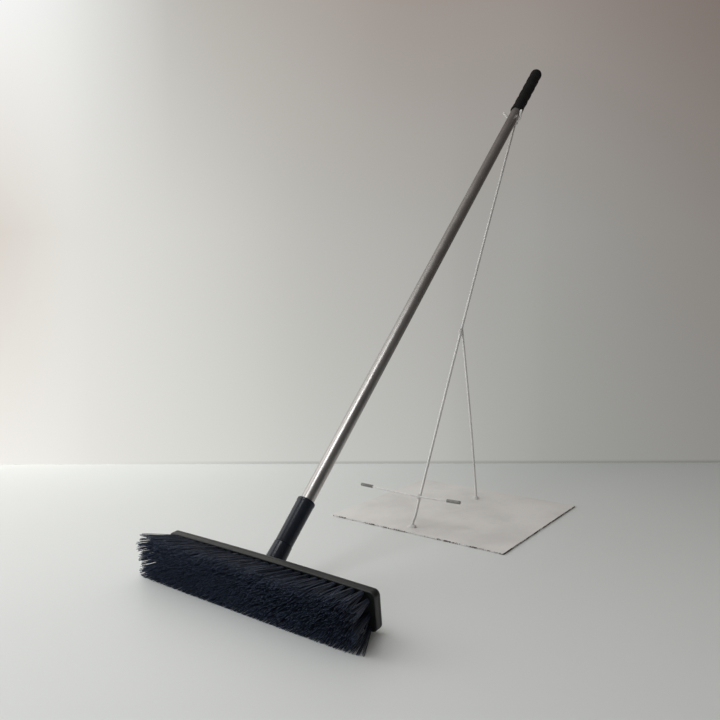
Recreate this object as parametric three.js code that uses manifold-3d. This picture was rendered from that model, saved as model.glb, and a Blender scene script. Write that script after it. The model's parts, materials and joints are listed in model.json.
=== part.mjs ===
// A push broom leaning in the cradle of a small welded wire stand.
// Millimetres and degrees. +X runs along the broom head, +Y is the way the handle leans, +Z is up.
// The origin is on the floor, under the middle of the whole set.

import * as THREE from "three";
import { mergeVertices } from "three/addons/utils/BufferGeometryUtils.js";
import Module from "manifold-3d";

const wasm = await Module();
wasm.setup();

// ---- Driving dimensions ----

const GAP = 0.3; // kept between pieces that touch

// How the broom stands
const ORIGIN_TO_HEAD = 437.5; // from the set's middle forward to the head's centre
const HEAD_CENTRE_HEIGHT = 32;
const HEAD_TILT = 6.6; // bristles point this far below level
const HANDLE_TILT = 44.8; // handle above level

// Block that holds the bristles
const BLOCK = { length: 400, width: 59, thickness: 13, corner: 8, crown: 1.8, edge: 1 };

// Bristles: staggered rows of tufts that fan out from the block
const BRISTLE_LENGTH = 58;
const ROW_COUNT = 6;
const ROW_SPACING = 9.2;
const ROW_THICKNESS = 5;
const TUFTS_PER_ROW = 26;
const TUFT_SPACING = 15;
const TOP_ROW_FAN = 14; // the top row's angle above square to the block
const END_FLARE = 17; // the end tufts' outward angle
const TUFT_NOTCH = 9; // how far back the rows divide into separate tufts

// Socket moulding screwed to the back of the block
const FLANGE = { length: 96, width: 44, thickness: 4, corner: 10 };
const NECK = { baseRadius: 15.4, mouthRadius: 14.3, straight: 10, end: 47.4, edge: 0.8 };
const WEB = { reach: 34, footInset: 4, thickness: 4 };
const SCREW = { headRadius: 4.2, headHeight: 2.4, shankRadius: 2, depth: 8, x: 38, z: 13 };
const SCREW_CROSS = { length: 4, width: 1, depth: 1 };

// Screw thread between the socket and the handle
const PITCH = 5.6;
const SPIGOT = { radius: 10, start: 17 };
const THREAD = { radius: 1.4, start: 21, end: 43, clearance: 0.45 };
const BORE_RADIUS = 10.5;

// Handle; stations are measured up its axis from the back of the block
const TUBE = { radius: 11, wall: 1 };
const FERRULE = { end: 122.4, footRadius: 13.6, mouthRadius: 14.8, rim: 4, edge: 1.2, floor: 9 };
const GRIP = { start: 1166.5, end: 1332.5, radius: 13.3, wave: 0.5, waves: 5, cap: 12 };
const GRIP_LIP = { flare: 0.7, height: 3, toWaves: 8 };

// Wire stand
const PLATE = { left: -161, right: 206, front: 348, depth: 342, thickness: 3, corner: 3 };
const MAST = { radius: 2.5, footX: 9.8, footSetback: 27, bow: 3 };
const BRACE = { radius: 2.3, footX: 17.6, footSetback: 267, joinsMastAt: 0.44 };
const CROSSBAR = { radius: 1.8, leftArm: 132, rightArm: 87, mastFraction: 0.06, dip: 3 };
const CROSSBAR_TIP = { radius: 3.1, length: 25, end: 1.4, edge: 0.8 };
const CRADLE = { station: 1149, radius: 2.5, seat: 14.6, tipX: 21.5, tipHeight: 9 };

// Half sizes of the weld lumps
const WELD = {
  mastFoot: [8, 6, 5],
  braceFoot: [7, 6, 5],
  braceTop: [4.6, 5.2, 9],
  crossbar: [6, 5.4, 5],
  cradle: [5, 4.8, 6],
};

// ---- Finishes ----

const FINISHES = {
  block: [0x34352f, 0.75, 0],
  bristle: [0x10131a, 0.5, 0],
  socket: [0x14171d, 0.25, 0],
  screw: [0xa9abad, 0.35, 1],
  aluminium: [0xa9a8a5, 0.32, 1],
  rubber: [0x17181a, 0.7, 0],
  whitePaint: [0xe4e0da, 0.45, 0],
  greyPlastic: [0x6d7070, 0.6, 0],
};

function finish(name) {
  const [color, roughness, metalness] = FINISHES[name];
  return new THREE.MeshStandardMaterial({ color, roughness, metalness });
}

function piece(name, geometry, finishName) {
  const mesh = new THREE.Mesh(geometry, finish(finishName));
  mesh.name = name;
  return mesh;
}

// ---- Solids ----

const radians = THREE.MathUtils.degToRad;

// A closed geometry as a solid that can be joined and cut.
function solid(geometry) {
  const bare = geometry.clone();
  bare.deleteAttribute("normal");
  bare.deleteAttribute("uv");
  const merged = mergeVertices(bare, 1e-4);
  return new wasm.Manifold(
    new wasm.Mesh({
      numProp: 3,
      vertProperties: new Float32Array(merged.attributes.position.array),
      triVerts: new Uint32Array(merged.index.array),
    }),
  );
}

// A solid back as a geometry.
function geometryOf(made) {
  const { vertProperties, triVerts } = made.getMesh();
  const geometry = new THREE.BufferGeometry();
  geometry.setAttribute("position", new THREE.BufferAttribute(vertProperties, 3));
  geometry.setIndex(new THREE.BufferAttribute(triVerts, 1));
  geometry.computeVertexNormals();
  return geometry;
}

// Joins the first geometry with others, then cuts the rest away.
function carve(body, { add = [], cut = [] }) {
  let made = solid(body);
  for (const other of add) made = made.add(solid(other));
  for (const other of cut) made = made.subtract(solid(other));
  return geometryOf(made);
}

// A profile of [radius, height] points turned about +Z.
function turned(profile, segments = 28) {
  const points = profile.map(([radius, height]) => new THREE.Vector2(radius, height));
  return new THREE.LatheGeometry(points, segments).rotateX(Math.PI / 2);
}

function cylinder(radius, from, to, segments = 28) {
  const length = to - from;
  const made = new THREE.CylinderGeometry(radius, radius, length, segments);
  return made.rotateX(Math.PI / 2).translate(0, 0, from + length / 2);
}

// A round rod along a curve.
function rod(curve, radius, steps, sides = 10) {
  const section = new THREE.Shape().absarc(0, 0, radius, 0, 2 * Math.PI);
  return new THREE.ExtrudeGeometry(section, {
    curveSegments: sides / 2, // a full circle takes two points for each
    steps,
    extrudePath: curve,
    bevelEnabled: false,
  });
}

// A rectangle in the XY plane with round corners and long sides that bulge by crown.
function roundedOutline(length, width, corner, crown = 0) {
  const x = length / 2;
  const y = width / 2;
  const shape = new THREE.Shape();
  const sides = [
    [x - corner, corner - y, -90],
    [x - corner, y - corner, 0],
    [corner - x, y - corner, 90],
    [corner - x, corner - y, 180],
  ];
  sides.forEach(([cx, cy, start], i) => {
    shape.absarc(cx, cy - Math.sign(cy) * crown, corner, radians(start), radians(start + 90));
    if (i === 1) shape.quadraticCurveTo(0, y + crown, corner - x, y - crown);
  });
  shape.quadraticCurveTo(0, -y - crown, x - corner, crown - y);
  return shape;
}

// A plate standing in the XZ plane, from y = back to y = back + thickness.
function standingPlate(outline, back, thickness, edge) {
  const bevelled = edge > 0;
  const made = new THREE.ExtrudeGeometry(outline, {
    depth: thickness - 2 * edge,
    bevelEnabled: bevelled,
    bevelThickness: edge,
    bevelSize: edge,
    bevelOffset: -edge,
    bevelSegments: 1,
    curveSegments: 6,
  });
  return made.rotateX(Math.PI / 2).translate(0, back + thickness - edge, 0);
}

// ---- Frames ----

// The head's frame: its origin is at the middle of the block's back face, +Y square to that face.
function headFrame() {
  const frame = new THREE.Group();
  frame.position.set(0, 0, HEAD_CENTRE_HEIGHT);
  frame.rotation.x = radians(HEAD_TILT);
  return frame;
}

// The handle's frame: the same origin, with +Z up the handle's axis and -Y on its upper side.
function handleFrame() {
  const frame = new THREE.Group();
  frame.position.set(0, 0, HEAD_CENTRE_HEIGHT);
  frame.rotation.x = radians(HANDLE_TILT - 90);
  return frame;
}

// Turns a geometry made about the handle's axis into the head's frame.
function intoHeadFrame(geometry) {
  return geometry.rotateX(radians(HANDLE_TILT - HEAD_TILT - 90));
}

// ---- Head ----

function screwPlaces() {
  return [
    [-SCREW.x, SCREW.z],
    [SCREW.x, SCREW.z],
    [-SCREW.x, -SCREW.z],
    [SCREW.x, -SCREW.z],
  ];
}

// A cylinder along the head frame's +Y.
function acrossHead(radius, from, to, x, z, segments = 12) {
  return cylinder(radius, from, to, segments).rotateX(-Math.PI / 2).translate(x, 0, z);
}

function brushBlock() {
  const outline = roundedOutline(BLOCK.length, BLOCK.width, BLOCK.corner, BLOCK.crown);
  const body = standingPlate(outline, -BLOCK.thickness, BLOCK.thickness, BLOCK.edge);
  const holeRadius = SCREW.shankRadius + GAP;
  const holes = screwPlaces().map(([x, z]) =>
    acrossHead(holeRadius, -SCREW.depth - GAP, 1, x, z),
  );
  return carve(body, { cut: holes });
}

// One row of tufts, drawn flat: X along the block, Y out from it.
function rowOutline(tufts) {
  const half = ((tufts - 1) * TUFT_SPACING) / 2;
  const endFlare = radians(END_FLARE);
  const place = (x, reach) => {
    const lean = endFlare * (x / half) ** 3;
    return new THREE.Vector2(x + reach * Math.sin(lean), reach * Math.cos(lean));
  };
  const margin = TUFT_SPACING / 5;
  const points = [new THREE.Vector2(-half - margin, 0), new THREE.Vector2(half + margin, 0)];
  for (let i = tufts - 1; i >= 0; i--) {
    const x = i * TUFT_SPACING - half;
    points.push(place(x + margin, BRISTLE_LENGTH));
    points.push(place(x - margin, BRISTLE_LENGTH));
    if (i > 0) points.push(place(x - TUFT_SPACING / 2, BRISTLE_LENGTH - TUFT_NOTCH));
  }
  return new THREE.Shape(points);
}

// Height of a row's roots above the head's centre line; row 0 is the lowest.
function rowHeight(row) {
  return (row - (ROW_COUNT - 1) / 2) * ROW_SPACING;
}

// The lowest row is bent just enough to lie on the floor; the others fan out evenly above it.
function rowFan(row) {
  const tilt = radians(HEAD_TILT);
  const rootHeight =
    HEAD_CENTRE_HEIGHT -
    (BLOCK.thickness + GAP) * Math.sin(tilt) +
    rowHeight(0) * Math.cos(tilt);
  const drop = Math.asin((rootHeight - ROW_THICKNESS / 2) / BRISTLE_LENGTH);
  const lowest = tilt - drop;
  const share = row / (ROW_COUNT - 1);
  return lowest + share * (radians(TOP_ROW_FAN) - lowest);
}

function bristleRow(row) {
  const staggered = row % 2;
  const flat = new THREE.ExtrudeGeometry(rowOutline(TUFTS_PER_ROW - staggered), {
    depth: ROW_THICKNESS,
    bevelEnabled: false,
  });
  flat.translate(0, 0, -ROW_THICKNESS / 2);
  flat.rotateX(Math.PI - rowFan(row));
  const rootClearance = (ROW_THICKNESS / 2) * Math.sin(Math.abs(rowFan(row)));
  return flat.translate(0, -BLOCK.thickness - GAP - rootClearance, rowHeight(row));
}

// A screw thread's round bead, wound about +Z.
class Helix extends THREE.Curve {
  constructor(radius, from, to) {
    super();
    this.radius = radius;
    this.from = from;
    this.to = to;
  }

  getPoint(t, target = new THREE.Vector3()) {
    const height = this.from + t * (this.to - this.from);
    const angle = (2 * Math.PI * height) / PITCH;
    return target.set(this.radius * Math.cos(angle), this.radius * Math.sin(angle), height);
  }
}

function threadBead(radius, from, to) {
  const stepsPerTurn = 14;
  const steps = Math.ceil(((to - from) / PITCH) * stepsPerTurn);
  return rod(new Helix(SPIGOT.radius, from, to), radius, steps, 8);
}

// Triangular web under the neck, in the plane that holds the handle's axis.
function neckWeb() {
  const slope = radians(HANDLE_TILT - HEAD_TILT);
  const foot = WEB.footInset - FLANGE.width / 2;
  const side = new THREE.Shape([
    new THREE.Vector2(0, 0),
    new THREE.Vector2(WEB.reach * Math.cos(slope), WEB.reach * Math.sin(slope)),
    new THREE.Vector2(FLANGE.thickness, foot),
    new THREE.Vector2(0, foot),
  ]);
  const web = new THREE.ExtrudeGeometry(side, { depth: WEB.thickness, bevelEnabled: false });
  return web.translate(0, 0, -WEB.thickness / 2).applyMatrix4(
    new THREE.Matrix4().makeBasis(
      new THREE.Vector3(0, 1, 0),
      new THREE.Vector3(0, 0, 1),
      new THREE.Vector3(1, 0, 0),
    ),
  );
}

function headSocket() {
  const outline = roundedOutline(FLANGE.length, FLANGE.width, FLANGE.corner);
  const flange = standingPlate(outline, GAP, FLANGE.thickness, 0);
  const buried = -2 * NECK.baseRadius; // the slanted neck starts well below the flange
  const neck = turned([
    [0, buried],
    [NECK.baseRadius, buried],
    [NECK.baseRadius, NECK.straight],
    [NECK.mouthRadius, NECK.end - NECK.edge],
    [NECK.mouthRadius - NECK.edge, NECK.end],
    [0, NECK.end],
  ]);
  const boreFloor = SPIGOT.start - 2;
  const bore = cylinder(BORE_RADIUS, boreFloor, NECK.end + NECK.edge);
  const groove = threadBead(
    THREAD.radius + THREAD.clearance,
    THREAD.start - PITCH / 6,
    NECK.end + PITCH,
  );
  const behind = 2 * FLANGE.length; // wide enough to trim all that passes the flange's back face
  const trim = new THREE.BoxGeometry(behind, behind, behind).translate(0, GAP - behind / 2, 0);
  const holes = screwPlaces().map(([x, z]) =>
    acrossHead(SCREW.shankRadius + GAP, 0, 2 * FLANGE.thickness, x, z),
  );
  return carve(flange, {
    add: [intoHeadFrame(neck), neckWeb()],
    cut: [intoHeadFrame(bore), intoHeadFrame(groove), trim, ...holes],
  });
}

function socketScrew(x, z) {
  const under = FLANGE.thickness + 2 * GAP;
  const top = under + SCREW.headHeight;
  const body = turned(
    [
      [0, -SCREW.depth],
      [SCREW.shankRadius * 0.3, -SCREW.depth],
      [SCREW.shankRadius, SCREW.shankRadius - SCREW.depth],
      [SCREW.shankRadius, under],
      [SCREW.headRadius, under],
      [SCREW.headRadius, under + SCREW.headHeight * 0.4],
      [SCREW.headRadius * 0.6, top],
      [0, top],
    ],
    12,
  );
  const { length, width, depth } = SCREW_CROSS;
  const cross = [
    new THREE.BoxGeometry(length, width, 2 * depth).translate(0, 0, top),
    new THREE.BoxGeometry(width, length, 2 * depth).translate(0, 0, top),
  ];
  return carve(body, { cut: cross }).rotateX(-Math.PI / 2).translate(x, 0, z);
}

// ---- Handle ----

function handleTube() {
  const inner = TUBE.radius - TUBE.wall;
  const foot = NECK.end + GAP + FERRULE.floor + GAP;
  const top = GRIP.end - GRIP.cap - GAP;
  return turned(
    [
      [inner, foot],
      [TUBE.radius, foot],
      [TUBE.radius, top],
      [inner, top],
      [inner, foot],
    ],
    36,
  );
}

// Sleeve over the tube's foot, with the threaded spigot that screws into the socket.
function handleFerrule() {
  const foot = NECK.end + GAP;
  const bore = TUBE.radius + GAP;
  const body = turned(
    [
      [0, SPIGOT.start],
      [SPIGOT.radius - 1, SPIGOT.start],
      [SPIGOT.radius, SPIGOT.start + 1],
      [SPIGOT.radius, foot],
      [FERRULE.footRadius - FERRULE.edge, foot],
      [FERRULE.footRadius, foot + FERRULE.edge],
      [FERRULE.mouthRadius - GAP, FERRULE.end - FERRULE.rim - FERRULE.edge],
      [FERRULE.mouthRadius, FERRULE.end - FERRULE.rim],
      [FERRULE.mouthRadius, FERRULE.end - FERRULE.edge],
      [FERRULE.mouthRadius - FERRULE.edge, FERRULE.end],
      [bore, FERRULE.end],
      [bore, foot + FERRULE.floor],
      [0, foot + FERRULE.floor],
    ],
    32,
  );
  return carve(body, { add: [threadBead(THREAD.radius, THREAD.start, THREAD.end)] });
}

// Rubber grip: a flared mouth, shallow finger waves and a domed end.
function handleGrip() {
  const bore = TUBE.radius + GAP;
  const domeRadius = GRIP.radius;
  const domeBase = GRIP.end - domeRadius;
  const lipRadius = GRIP.radius + GRIP_LIP.flare;
  const profile = [
    [bore, GRIP.start],
    [lipRadius, GRIP.start],
    [lipRadius, GRIP.start + GRIP_LIP.height],
  ];
  const stations = GRIP.waves * 4;
  const waveStart = GRIP.start + GRIP_LIP.toWaves;
  const waveLength = domeBase - waveStart;
  for (let i = 0; i <= stations; i++) {
    const share = i / stations;
    const wave = GRIP.wave * Math.cos(2 * Math.PI * GRIP.waves * share);
    profile.push([GRIP.radius - GRIP.wave + wave, waveStart + share * waveLength]);
  }
  const domeSteps = 4;
  for (let i = 1; i < domeSteps; i++) {
    const angle = radians((90 * i) / domeSteps);
    profile.push([domeRadius * Math.cos(angle), domeBase + domeRadius * Math.sin(angle)]);
  }
  profile.push([0, GRIP.end], [0, GRIP.end - GRIP.cap], [bore, GRIP.end - GRIP.cap]);
  profile.push([bore, GRIP.start]);
  return turned(profile, 24);
}

// ---- Stand ----

function alongHandle(station, above = 0) {
  const tilt = radians(HANDLE_TILT);
  return new THREE.Vector3(
    0,
    station * Math.cos(tilt) - above * Math.sin(tilt),
    HEAD_CENTRE_HEIGHT + station * Math.sin(tilt) + above * Math.cos(tilt),
  );
}

const plateTop = PLATE.thickness + GAP;
const ROD_FOOT_LIFT = 0.7; // rods meet the plate slightly askew, inside their weld
const rodFoot = plateTop + ROD_FOOT_LIFT;
const mastFoot = new THREE.Vector3(MAST.footX, PLATE.front + MAST.footSetback, rodFoot);
const braceFoot = new THREE.Vector3(BRACE.footX, PLATE.front + BRACE.footSetback, rodFoot);
const mastHead = alongHandle(CRADLE.station, -CRADLE.seat);

// A point on the mast's line; share 0 is its foot and 1 the cradle. Its middle bows sideways.
function onMast(share) {
  const point = mastFoot.clone().lerp(mastHead, share);
  point.x -= 4 * MAST.bow * share * (1 - share);
  return point;
}

function standPlate() {
  const width = PLATE.right - PLATE.left;
  const outline = roundedOutline(width, PLATE.depth, PLATE.corner);
  const made = new THREE.ExtrudeGeometry(outline, {
    depth: PLATE.thickness,
    bevelEnabled: false,
    curveSegments: 4,
  });
  return made.translate((PLATE.left + PLATE.right) / 2, PLATE.front + PLATE.depth / 2, 0);
}

function mastCurve() {
  const length = mastFoot.distanceTo(mastHead);
  const stop = 1 - (CRADLE.radius + GAP) / length;
  const points = [mastFoot, mastFoot.clone().add(new THREE.Vector3(0, 1, 6))];
  for (const share of [0.02, 0.06, 0.25, 0.44, 0.7, stop]) points.push(onMast(share));
  return new THREE.CatmullRomCurve3(points);
}

function braceCurve() {
  const top = onMast(BRACE.joinsMastAt);
  const lift = braceFoot.clone().add(new THREE.Vector3(0, 0, 5));
  const middle = braceFoot.clone().lerp(top, 0.5).add(new THREE.Vector3(1, 2, 0));
  return new THREE.CatmullRomCurve3([braceFoot, lift, middle, top]);
}

function crossbarMiddle() {
  const inFront = MAST.radius + CROSSBAR.radius + GAP;
  return onMast(CROSSBAR.mastFraction).add(new THREE.Vector3(0, -inFront, inFront / 2));
}

function crossbarCurve() {
  const middle = crossbarMiddle();
  const left = middle.clone().add(new THREE.Vector3(-CROSSBAR.leftArm, 0, CROSSBAR.dip));
  const right = middle.clone().add(new THREE.Vector3(CROSSBAR.rightArm, 0, CROSSBAR.dip));
  return new THREE.CatmullRomCurve3([left, middle, right]);
}

// A cap pushed over one end of the crossbar.
function crossbarTip(end, inward) {
  const bore = CROSSBAR.radius + 1.4 * GAP; // clears the rod's corners as it curves
  const outerEnd = -GAP - CROSSBAR_TIP.end;
  const cap = turned(
    [
      [0, outerEnd],
      [CROSSBAR_TIP.radius - CROSSBAR_TIP.edge, outerEnd],
      [CROSSBAR_TIP.radius, outerEnd + CROSSBAR_TIP.edge],
      [CROSSBAR_TIP.radius, CROSSBAR_TIP.length],
      [bore, CROSSBAR_TIP.length],
      [bore, -GAP],
      [0, -GAP],
    ],
    16,
  );
  const turn = new THREE.Quaternion().setFromUnitVectors(new THREE.Vector3(0, 0, 1), inward);
  return cap.applyQuaternion(turn).translate(end.x, end.y, end.z);
}

// Open yoke that the tube lies in, square to the handle. Its arms spread towards their tips.
function cradleCurve() {
  const seat = CRADLE.seat;
  const onSeat = (below) => [seat * Math.cos(radians(below)), -seat * Math.sin(radians(below))];
  const half = [
    [CRADLE.tipX, CRADLE.tipHeight],
    [seat + 2, 2],
    onSeat(28),
    onSeat(60),
  ];
  const right = half.map(([x, above]) => alongHandle(CRADLE.station, above).setX(x));
  const left = half.map(([x, above]) => alongHandle(CRADLE.station, above).setX(-x));
  const bottom = alongHandle(CRADLE.station, -seat);
  return new THREE.CatmullRomCurve3([...left, bottom, ...right.reverse()]);
}

// A lump of weld metal with the pieces that it joins cut out of it.
function weldBead(centre, size, joined) {
  const lump = new THREE.SphereGeometry(1, 12, 8);
  lump.scale(...size).translate(centre.x, centre.y, centre.z);
  return carve(lump, { cut: joined });
}

function stand() {
  const group = new THREE.Group();
  const paint = (name, geometry) => group.add(piece(name, geometry, "whitePaint"));
  const cap = (name, geometry) => group.add(piece(name, geometry, "greyPlastic"));
  const rodWithSleeve = (curve, radius, steps) => ({
    shape: rod(curve, radius, steps),
    sleeve: rod(curve, radius + GAP, steps),
  });
  const bar = crossbarCurve();
  const mast = rodWithSleeve(mastCurve(), MAST.radius, 22);
  const brace = rodWithSleeve(braceCurve(), BRACE.radius, 9);
  const crossbar = rodWithSleeve(bar, CROSSBAR.radius, 8);
  const cradle = rodWithSleeve(cradleCurve(), CRADLE.radius, 20);

  paint("stand_plate", standPlate());
  paint("mast_rod", mast.shape);
  paint("brace_rod", carve(brace.shape, { cut: [mast.sleeve] }));
  paint("crossbar_rod", crossbar.shape);
  cap("crossbar_tip_left", crossbarTip(bar.getPoint(0), bar.getTangent(0)));
  cap("crossbar_tip_right", crossbarTip(bar.getPoint(1), bar.getTangent(1).negate()));
  paint("cradle_rod", cradle.shape);

  const side = 2 * PLATE.depth;
  const underWelds = new THREE.BoxGeometry(side, side, side);
  underWelds.translate(0, PLATE.front + PLATE.depth / 2, plateTop - side / 2);
  const braceTop = onMast(BRACE.joinsMastAt - 0.012); // the lump hangs a little below the joint
  const crossing = crossbarMiddle().lerp(onMast(CROSSBAR.mastFraction), 0.5);
  const underCradle = mastHead.clone().add(new THREE.Vector3(0, 0, -WELD.cradle[2] / 2));
  paint("weld_mast_foot", weldBead(mastFoot, WELD.mastFoot, [mast.sleeve, underWelds]));
  paint("weld_brace_foot", weldBead(braceFoot, WELD.braceFoot, [brace.sleeve, underWelds]));
  paint("weld_brace_top", weldBead(braceTop, WELD.braceTop, [mast.sleeve, brace.sleeve]));
  paint("weld_crossbar", weldBead(crossing, WELD.crossbar, [mast.sleeve, crossbar.sleeve]));
  paint("weld_cradle", weldBead(underCradle, WELD.cradle, [mast.sleeve, cradle.sleeve]));
  return group;
}

// ---- Broom ----

function head() {
  const frame = headFrame();
  frame.add(piece("brush_block", brushBlock(), "block"));
  frame.add(piece("head_socket", headSocket(), "socket"));
  screwPlaces().forEach(([x, z], i) => {
    frame.add(piece(`socket_screw_${i + 1}`, socketScrew(x, z), "screw"));
  });
  for (let row = 0; row < ROW_COUNT; row++) {
    frame.add(piece(`bristle_row_${row + 1}`, bristleRow(row), "bristle"));
  }
  return frame;
}

function handle() {
  const frame = handleFrame();
  frame.add(
    piece("handle_tube", handleTube(), "aluminium"),
    piece("handle_ferrule", handleFerrule(), "socket"),
    piece("handle_grip", handleGrip(), "rubber"),
  );
  return frame;
}

const broomOnStand = new THREE.Group();
const fromHead = new THREE.Group();
fromHead.position.y = -ORIGIN_TO_HEAD;
fromHead.add(head(), handle(), stand());
broomOnStand.add(fromHead);

export default broomOnStand;
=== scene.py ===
"""The looks of a push broom that leans in the cradle of a small welded wire stand.

Metres. +X runs along the broom head, +Y is the way the handle leans, +Z is up.
"""

import itertools
import json
import math
import random

import bmesh
import bpy
import numpy as np
from bpy.props import FloatProperty, FloatVectorProperty, IntProperty, PointerProperty
from mathutils import Matrix, Vector, noise


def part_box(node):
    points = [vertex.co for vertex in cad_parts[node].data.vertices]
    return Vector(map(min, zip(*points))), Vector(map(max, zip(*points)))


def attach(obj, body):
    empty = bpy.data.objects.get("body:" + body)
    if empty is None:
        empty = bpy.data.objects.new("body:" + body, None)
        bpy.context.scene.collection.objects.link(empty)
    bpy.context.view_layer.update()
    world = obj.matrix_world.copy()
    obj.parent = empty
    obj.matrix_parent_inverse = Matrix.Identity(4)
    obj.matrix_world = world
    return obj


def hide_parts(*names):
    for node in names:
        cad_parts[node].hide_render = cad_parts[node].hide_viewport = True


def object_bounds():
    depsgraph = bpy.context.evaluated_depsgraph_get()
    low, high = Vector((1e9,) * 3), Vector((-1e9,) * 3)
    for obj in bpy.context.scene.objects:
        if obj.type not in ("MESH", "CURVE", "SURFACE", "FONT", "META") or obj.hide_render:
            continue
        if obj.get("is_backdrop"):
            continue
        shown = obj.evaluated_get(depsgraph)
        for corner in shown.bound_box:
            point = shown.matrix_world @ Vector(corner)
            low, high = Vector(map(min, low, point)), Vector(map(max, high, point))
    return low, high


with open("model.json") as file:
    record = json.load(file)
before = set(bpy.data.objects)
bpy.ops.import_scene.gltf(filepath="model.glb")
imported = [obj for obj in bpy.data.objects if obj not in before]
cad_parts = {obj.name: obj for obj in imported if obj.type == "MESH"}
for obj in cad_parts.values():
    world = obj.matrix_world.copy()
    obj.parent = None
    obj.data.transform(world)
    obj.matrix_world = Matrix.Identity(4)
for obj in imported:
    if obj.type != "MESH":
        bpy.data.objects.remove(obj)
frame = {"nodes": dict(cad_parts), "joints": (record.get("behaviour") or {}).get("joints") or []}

bl_info = {
    "name": "Push Broom on Stand",
    "version": (1, 0, 0),
    "blender": (4, 5, 0),
    "location": "3D View > Sidebar > Broom",
    "description": "Makes a push broom and its wire stand from filaments, mouldings, tube and rods",
    "category": "Add Mesh",
}

MM = 0.001
TAU = 2 * math.pi
GOLDEN_ANGLE = math.radians(137.50776)


# ---- Places, from the frame ----

def vertices_of(node):
    mesh = frame["nodes"][node].data
    flat = np.zeros(len(mesh.vertices) * 3, np.float32)
    mesh.vertices.foreach_get("co", flat)
    return flat.reshape(-1, 3).astype(float)


def middle(node):
    low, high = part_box(node)
    return (low + high) / 2


def joint(name):
    return next(j for j in frame["joints"] if j["name"] == name)


def basis(x, y, z, origin):
    """A matrix from three unit axes and an origin."""
    matrix = Matrix((x, y, z)).transposed().to_4x4()
    matrix.translation = origin
    return matrix


def broadest_normal(node):
    """The unit normal, leaning towards +Y, of the flat face that covers the most area."""
    totals = {}
    for face in frame["nodes"][node].data.polygons:
        key = tuple(round(c, 2) for c in face.normal)
        area, summed = totals.get(key, (0.0, Vector()))
        totals[key] = (area + face.area, summed + face.normal * face.area)
    normal = max(totals.values(), key=lambda found: found[0])[1].normalized()
    return normal if normal.y > 0 else -normal


def handle_frame():
    """Origin at the back of the block, +Z up the handle, -Y on its upper side."""
    turn = joint("handle_turn")
    axis = Vector(turn["axis"]).normalized()
    x = Vector((1, 0, 0))
    return basis(x, axis.cross(x), axis, Vector(turn["pos_m"]))


def head_frame():
    """The same origin, with +Y square to the block's back face."""
    y = broadest_normal("brush_block")
    x = Vector((1, 0, 0))
    return basis(x, y, x.cross(y), Vector(joint("handle_turn")["pos_m"]))


HANDLE = handle_frame()
HEAD = head_frame()


def within(node, matrix):
    """A node's vertices in the frame of that matrix."""
    inverse = np.array(matrix.inverted(), float)
    return vertices_of(node) @ inverse[:3, :3].T + inverse[:3, 3]


def span_on_handle(node):
    """Lowest and highest station of a node up the handle, and its radius about it."""
    points = within(node, HANDLE)
    return points[:, 2].min(), points[:, 2].max(), np.hypot(points[:, 0], points[:, 1]).max()


def up_handle(station, above=0.0, aside=0.0):
    return HANDLE @ Vector((aside, -above, station))


# ---- Mesh helpers ----

def object_from(name, vertices, faces):
    mesh = bpy.data.meshes.new(name)
    mesh.from_pydata([tuple(v) for v in vertices], [], faces)
    made = bpy.data.objects.new(name, mesh)
    bpy.context.scene.collection.objects.link(made)
    return made


def face_outwards(made):
    shape = bmesh.new()
    shape.from_mesh(made.data)
    bmesh.ops.remove_doubles(shape, verts=shape.verts, dist=1e-7)
    bmesh.ops.recalc_face_normals(shape, faces=shape.faces)
    shape.to_mesh(made.data)
    shape.free()


def shade(made, sharp=35.0):
    made.data.shade_smooth()
    made.data.set_sharp_from_angle(angle=math.radians(sharp))


def applied(made):
    """The object with its modifiers taken into its mesh."""
    graph = bpy.context.evaluated_depsgraph_get()
    graph.update()
    mesh = bpy.data.meshes.new_from_object(made.evaluated_get(graph))
    made.modifiers.clear()
    made.data = mesh
    return made


def join_or_cut(made, others, operation):
    """Joins or cuts closed objects with an exact boolean, and removes the others."""
    for other in others:
        step = made.modifiers.new("boolean", "BOOLEAN")
        step.operation = operation
        step.solver = "EXACT"
        step.object = other
        applied(made)
    for other in others:
        bpy.data.objects.remove(other)


def welded(made, reach):
    """Merges the stray points that cutting leaves on top of each other."""
    mesh = bmesh.new()
    mesh.from_mesh(made.data)
    bmesh.ops.remove_doubles(mesh, verts=mesh.verts, dist=reach)
    bmesh.ops.dissolve_degenerate(mesh, edges=mesh.edges, dist=reach / 10)
    mesh.to_mesh(made.data)
    mesh.free()


def settle(made, body, nodes, material, sharp=35.0):
    """Gives a finished piece its shading, material and body, and hides the nodes it stands for."""
    if sharp:
        shade(made, sharp)
    made.data.materials.clear()
    made.data.materials.append(material)
    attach(made, body)
    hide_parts(*nodes)


def arc_corner(before, corner, after, radius, steps):
    """Points of a round corner between two straight sides."""
    a, b = (before - corner), (after - corner)
    cut = min(radius, 0.49 * a.length, 0.49 * b.length)
    start, end = corner + a.normalized() * cut, corner + b.normalized() * cut
    shares = [i / steps for i in range(steps + 1)]
    return [start.lerp(corner, t).lerp(corner.lerp(end, t), t) for t in shares]


def rounded_line(points, steps=4):
    """A line of (radius, station, corner) or (x, y, corner) points with its corners rounded."""
    flat = [Vector(p[:2]) for p in points]
    made = []
    for i, point in enumerate(points):
        corner = point[2] if len(point) > 2 else 0
        if corner and 0 < i < len(points) - 1:
            made += arc_corner(flat[i - 1], flat[i], flat[i + 1], corner, steps)
        else:
            made.append(flat[i])
    return [tuple(p) for p in made]


def object_of(name, shape):
    """An object that takes over a bmesh."""
    made = object_from(name, [], [])
    shape.to_mesh(made.data)
    shape.free()
    return made


def placed(made, place):
    """The object moved to its place, with its faces turned outwards."""
    made.data.transform(place)
    face_outwards(made)
    return made


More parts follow.
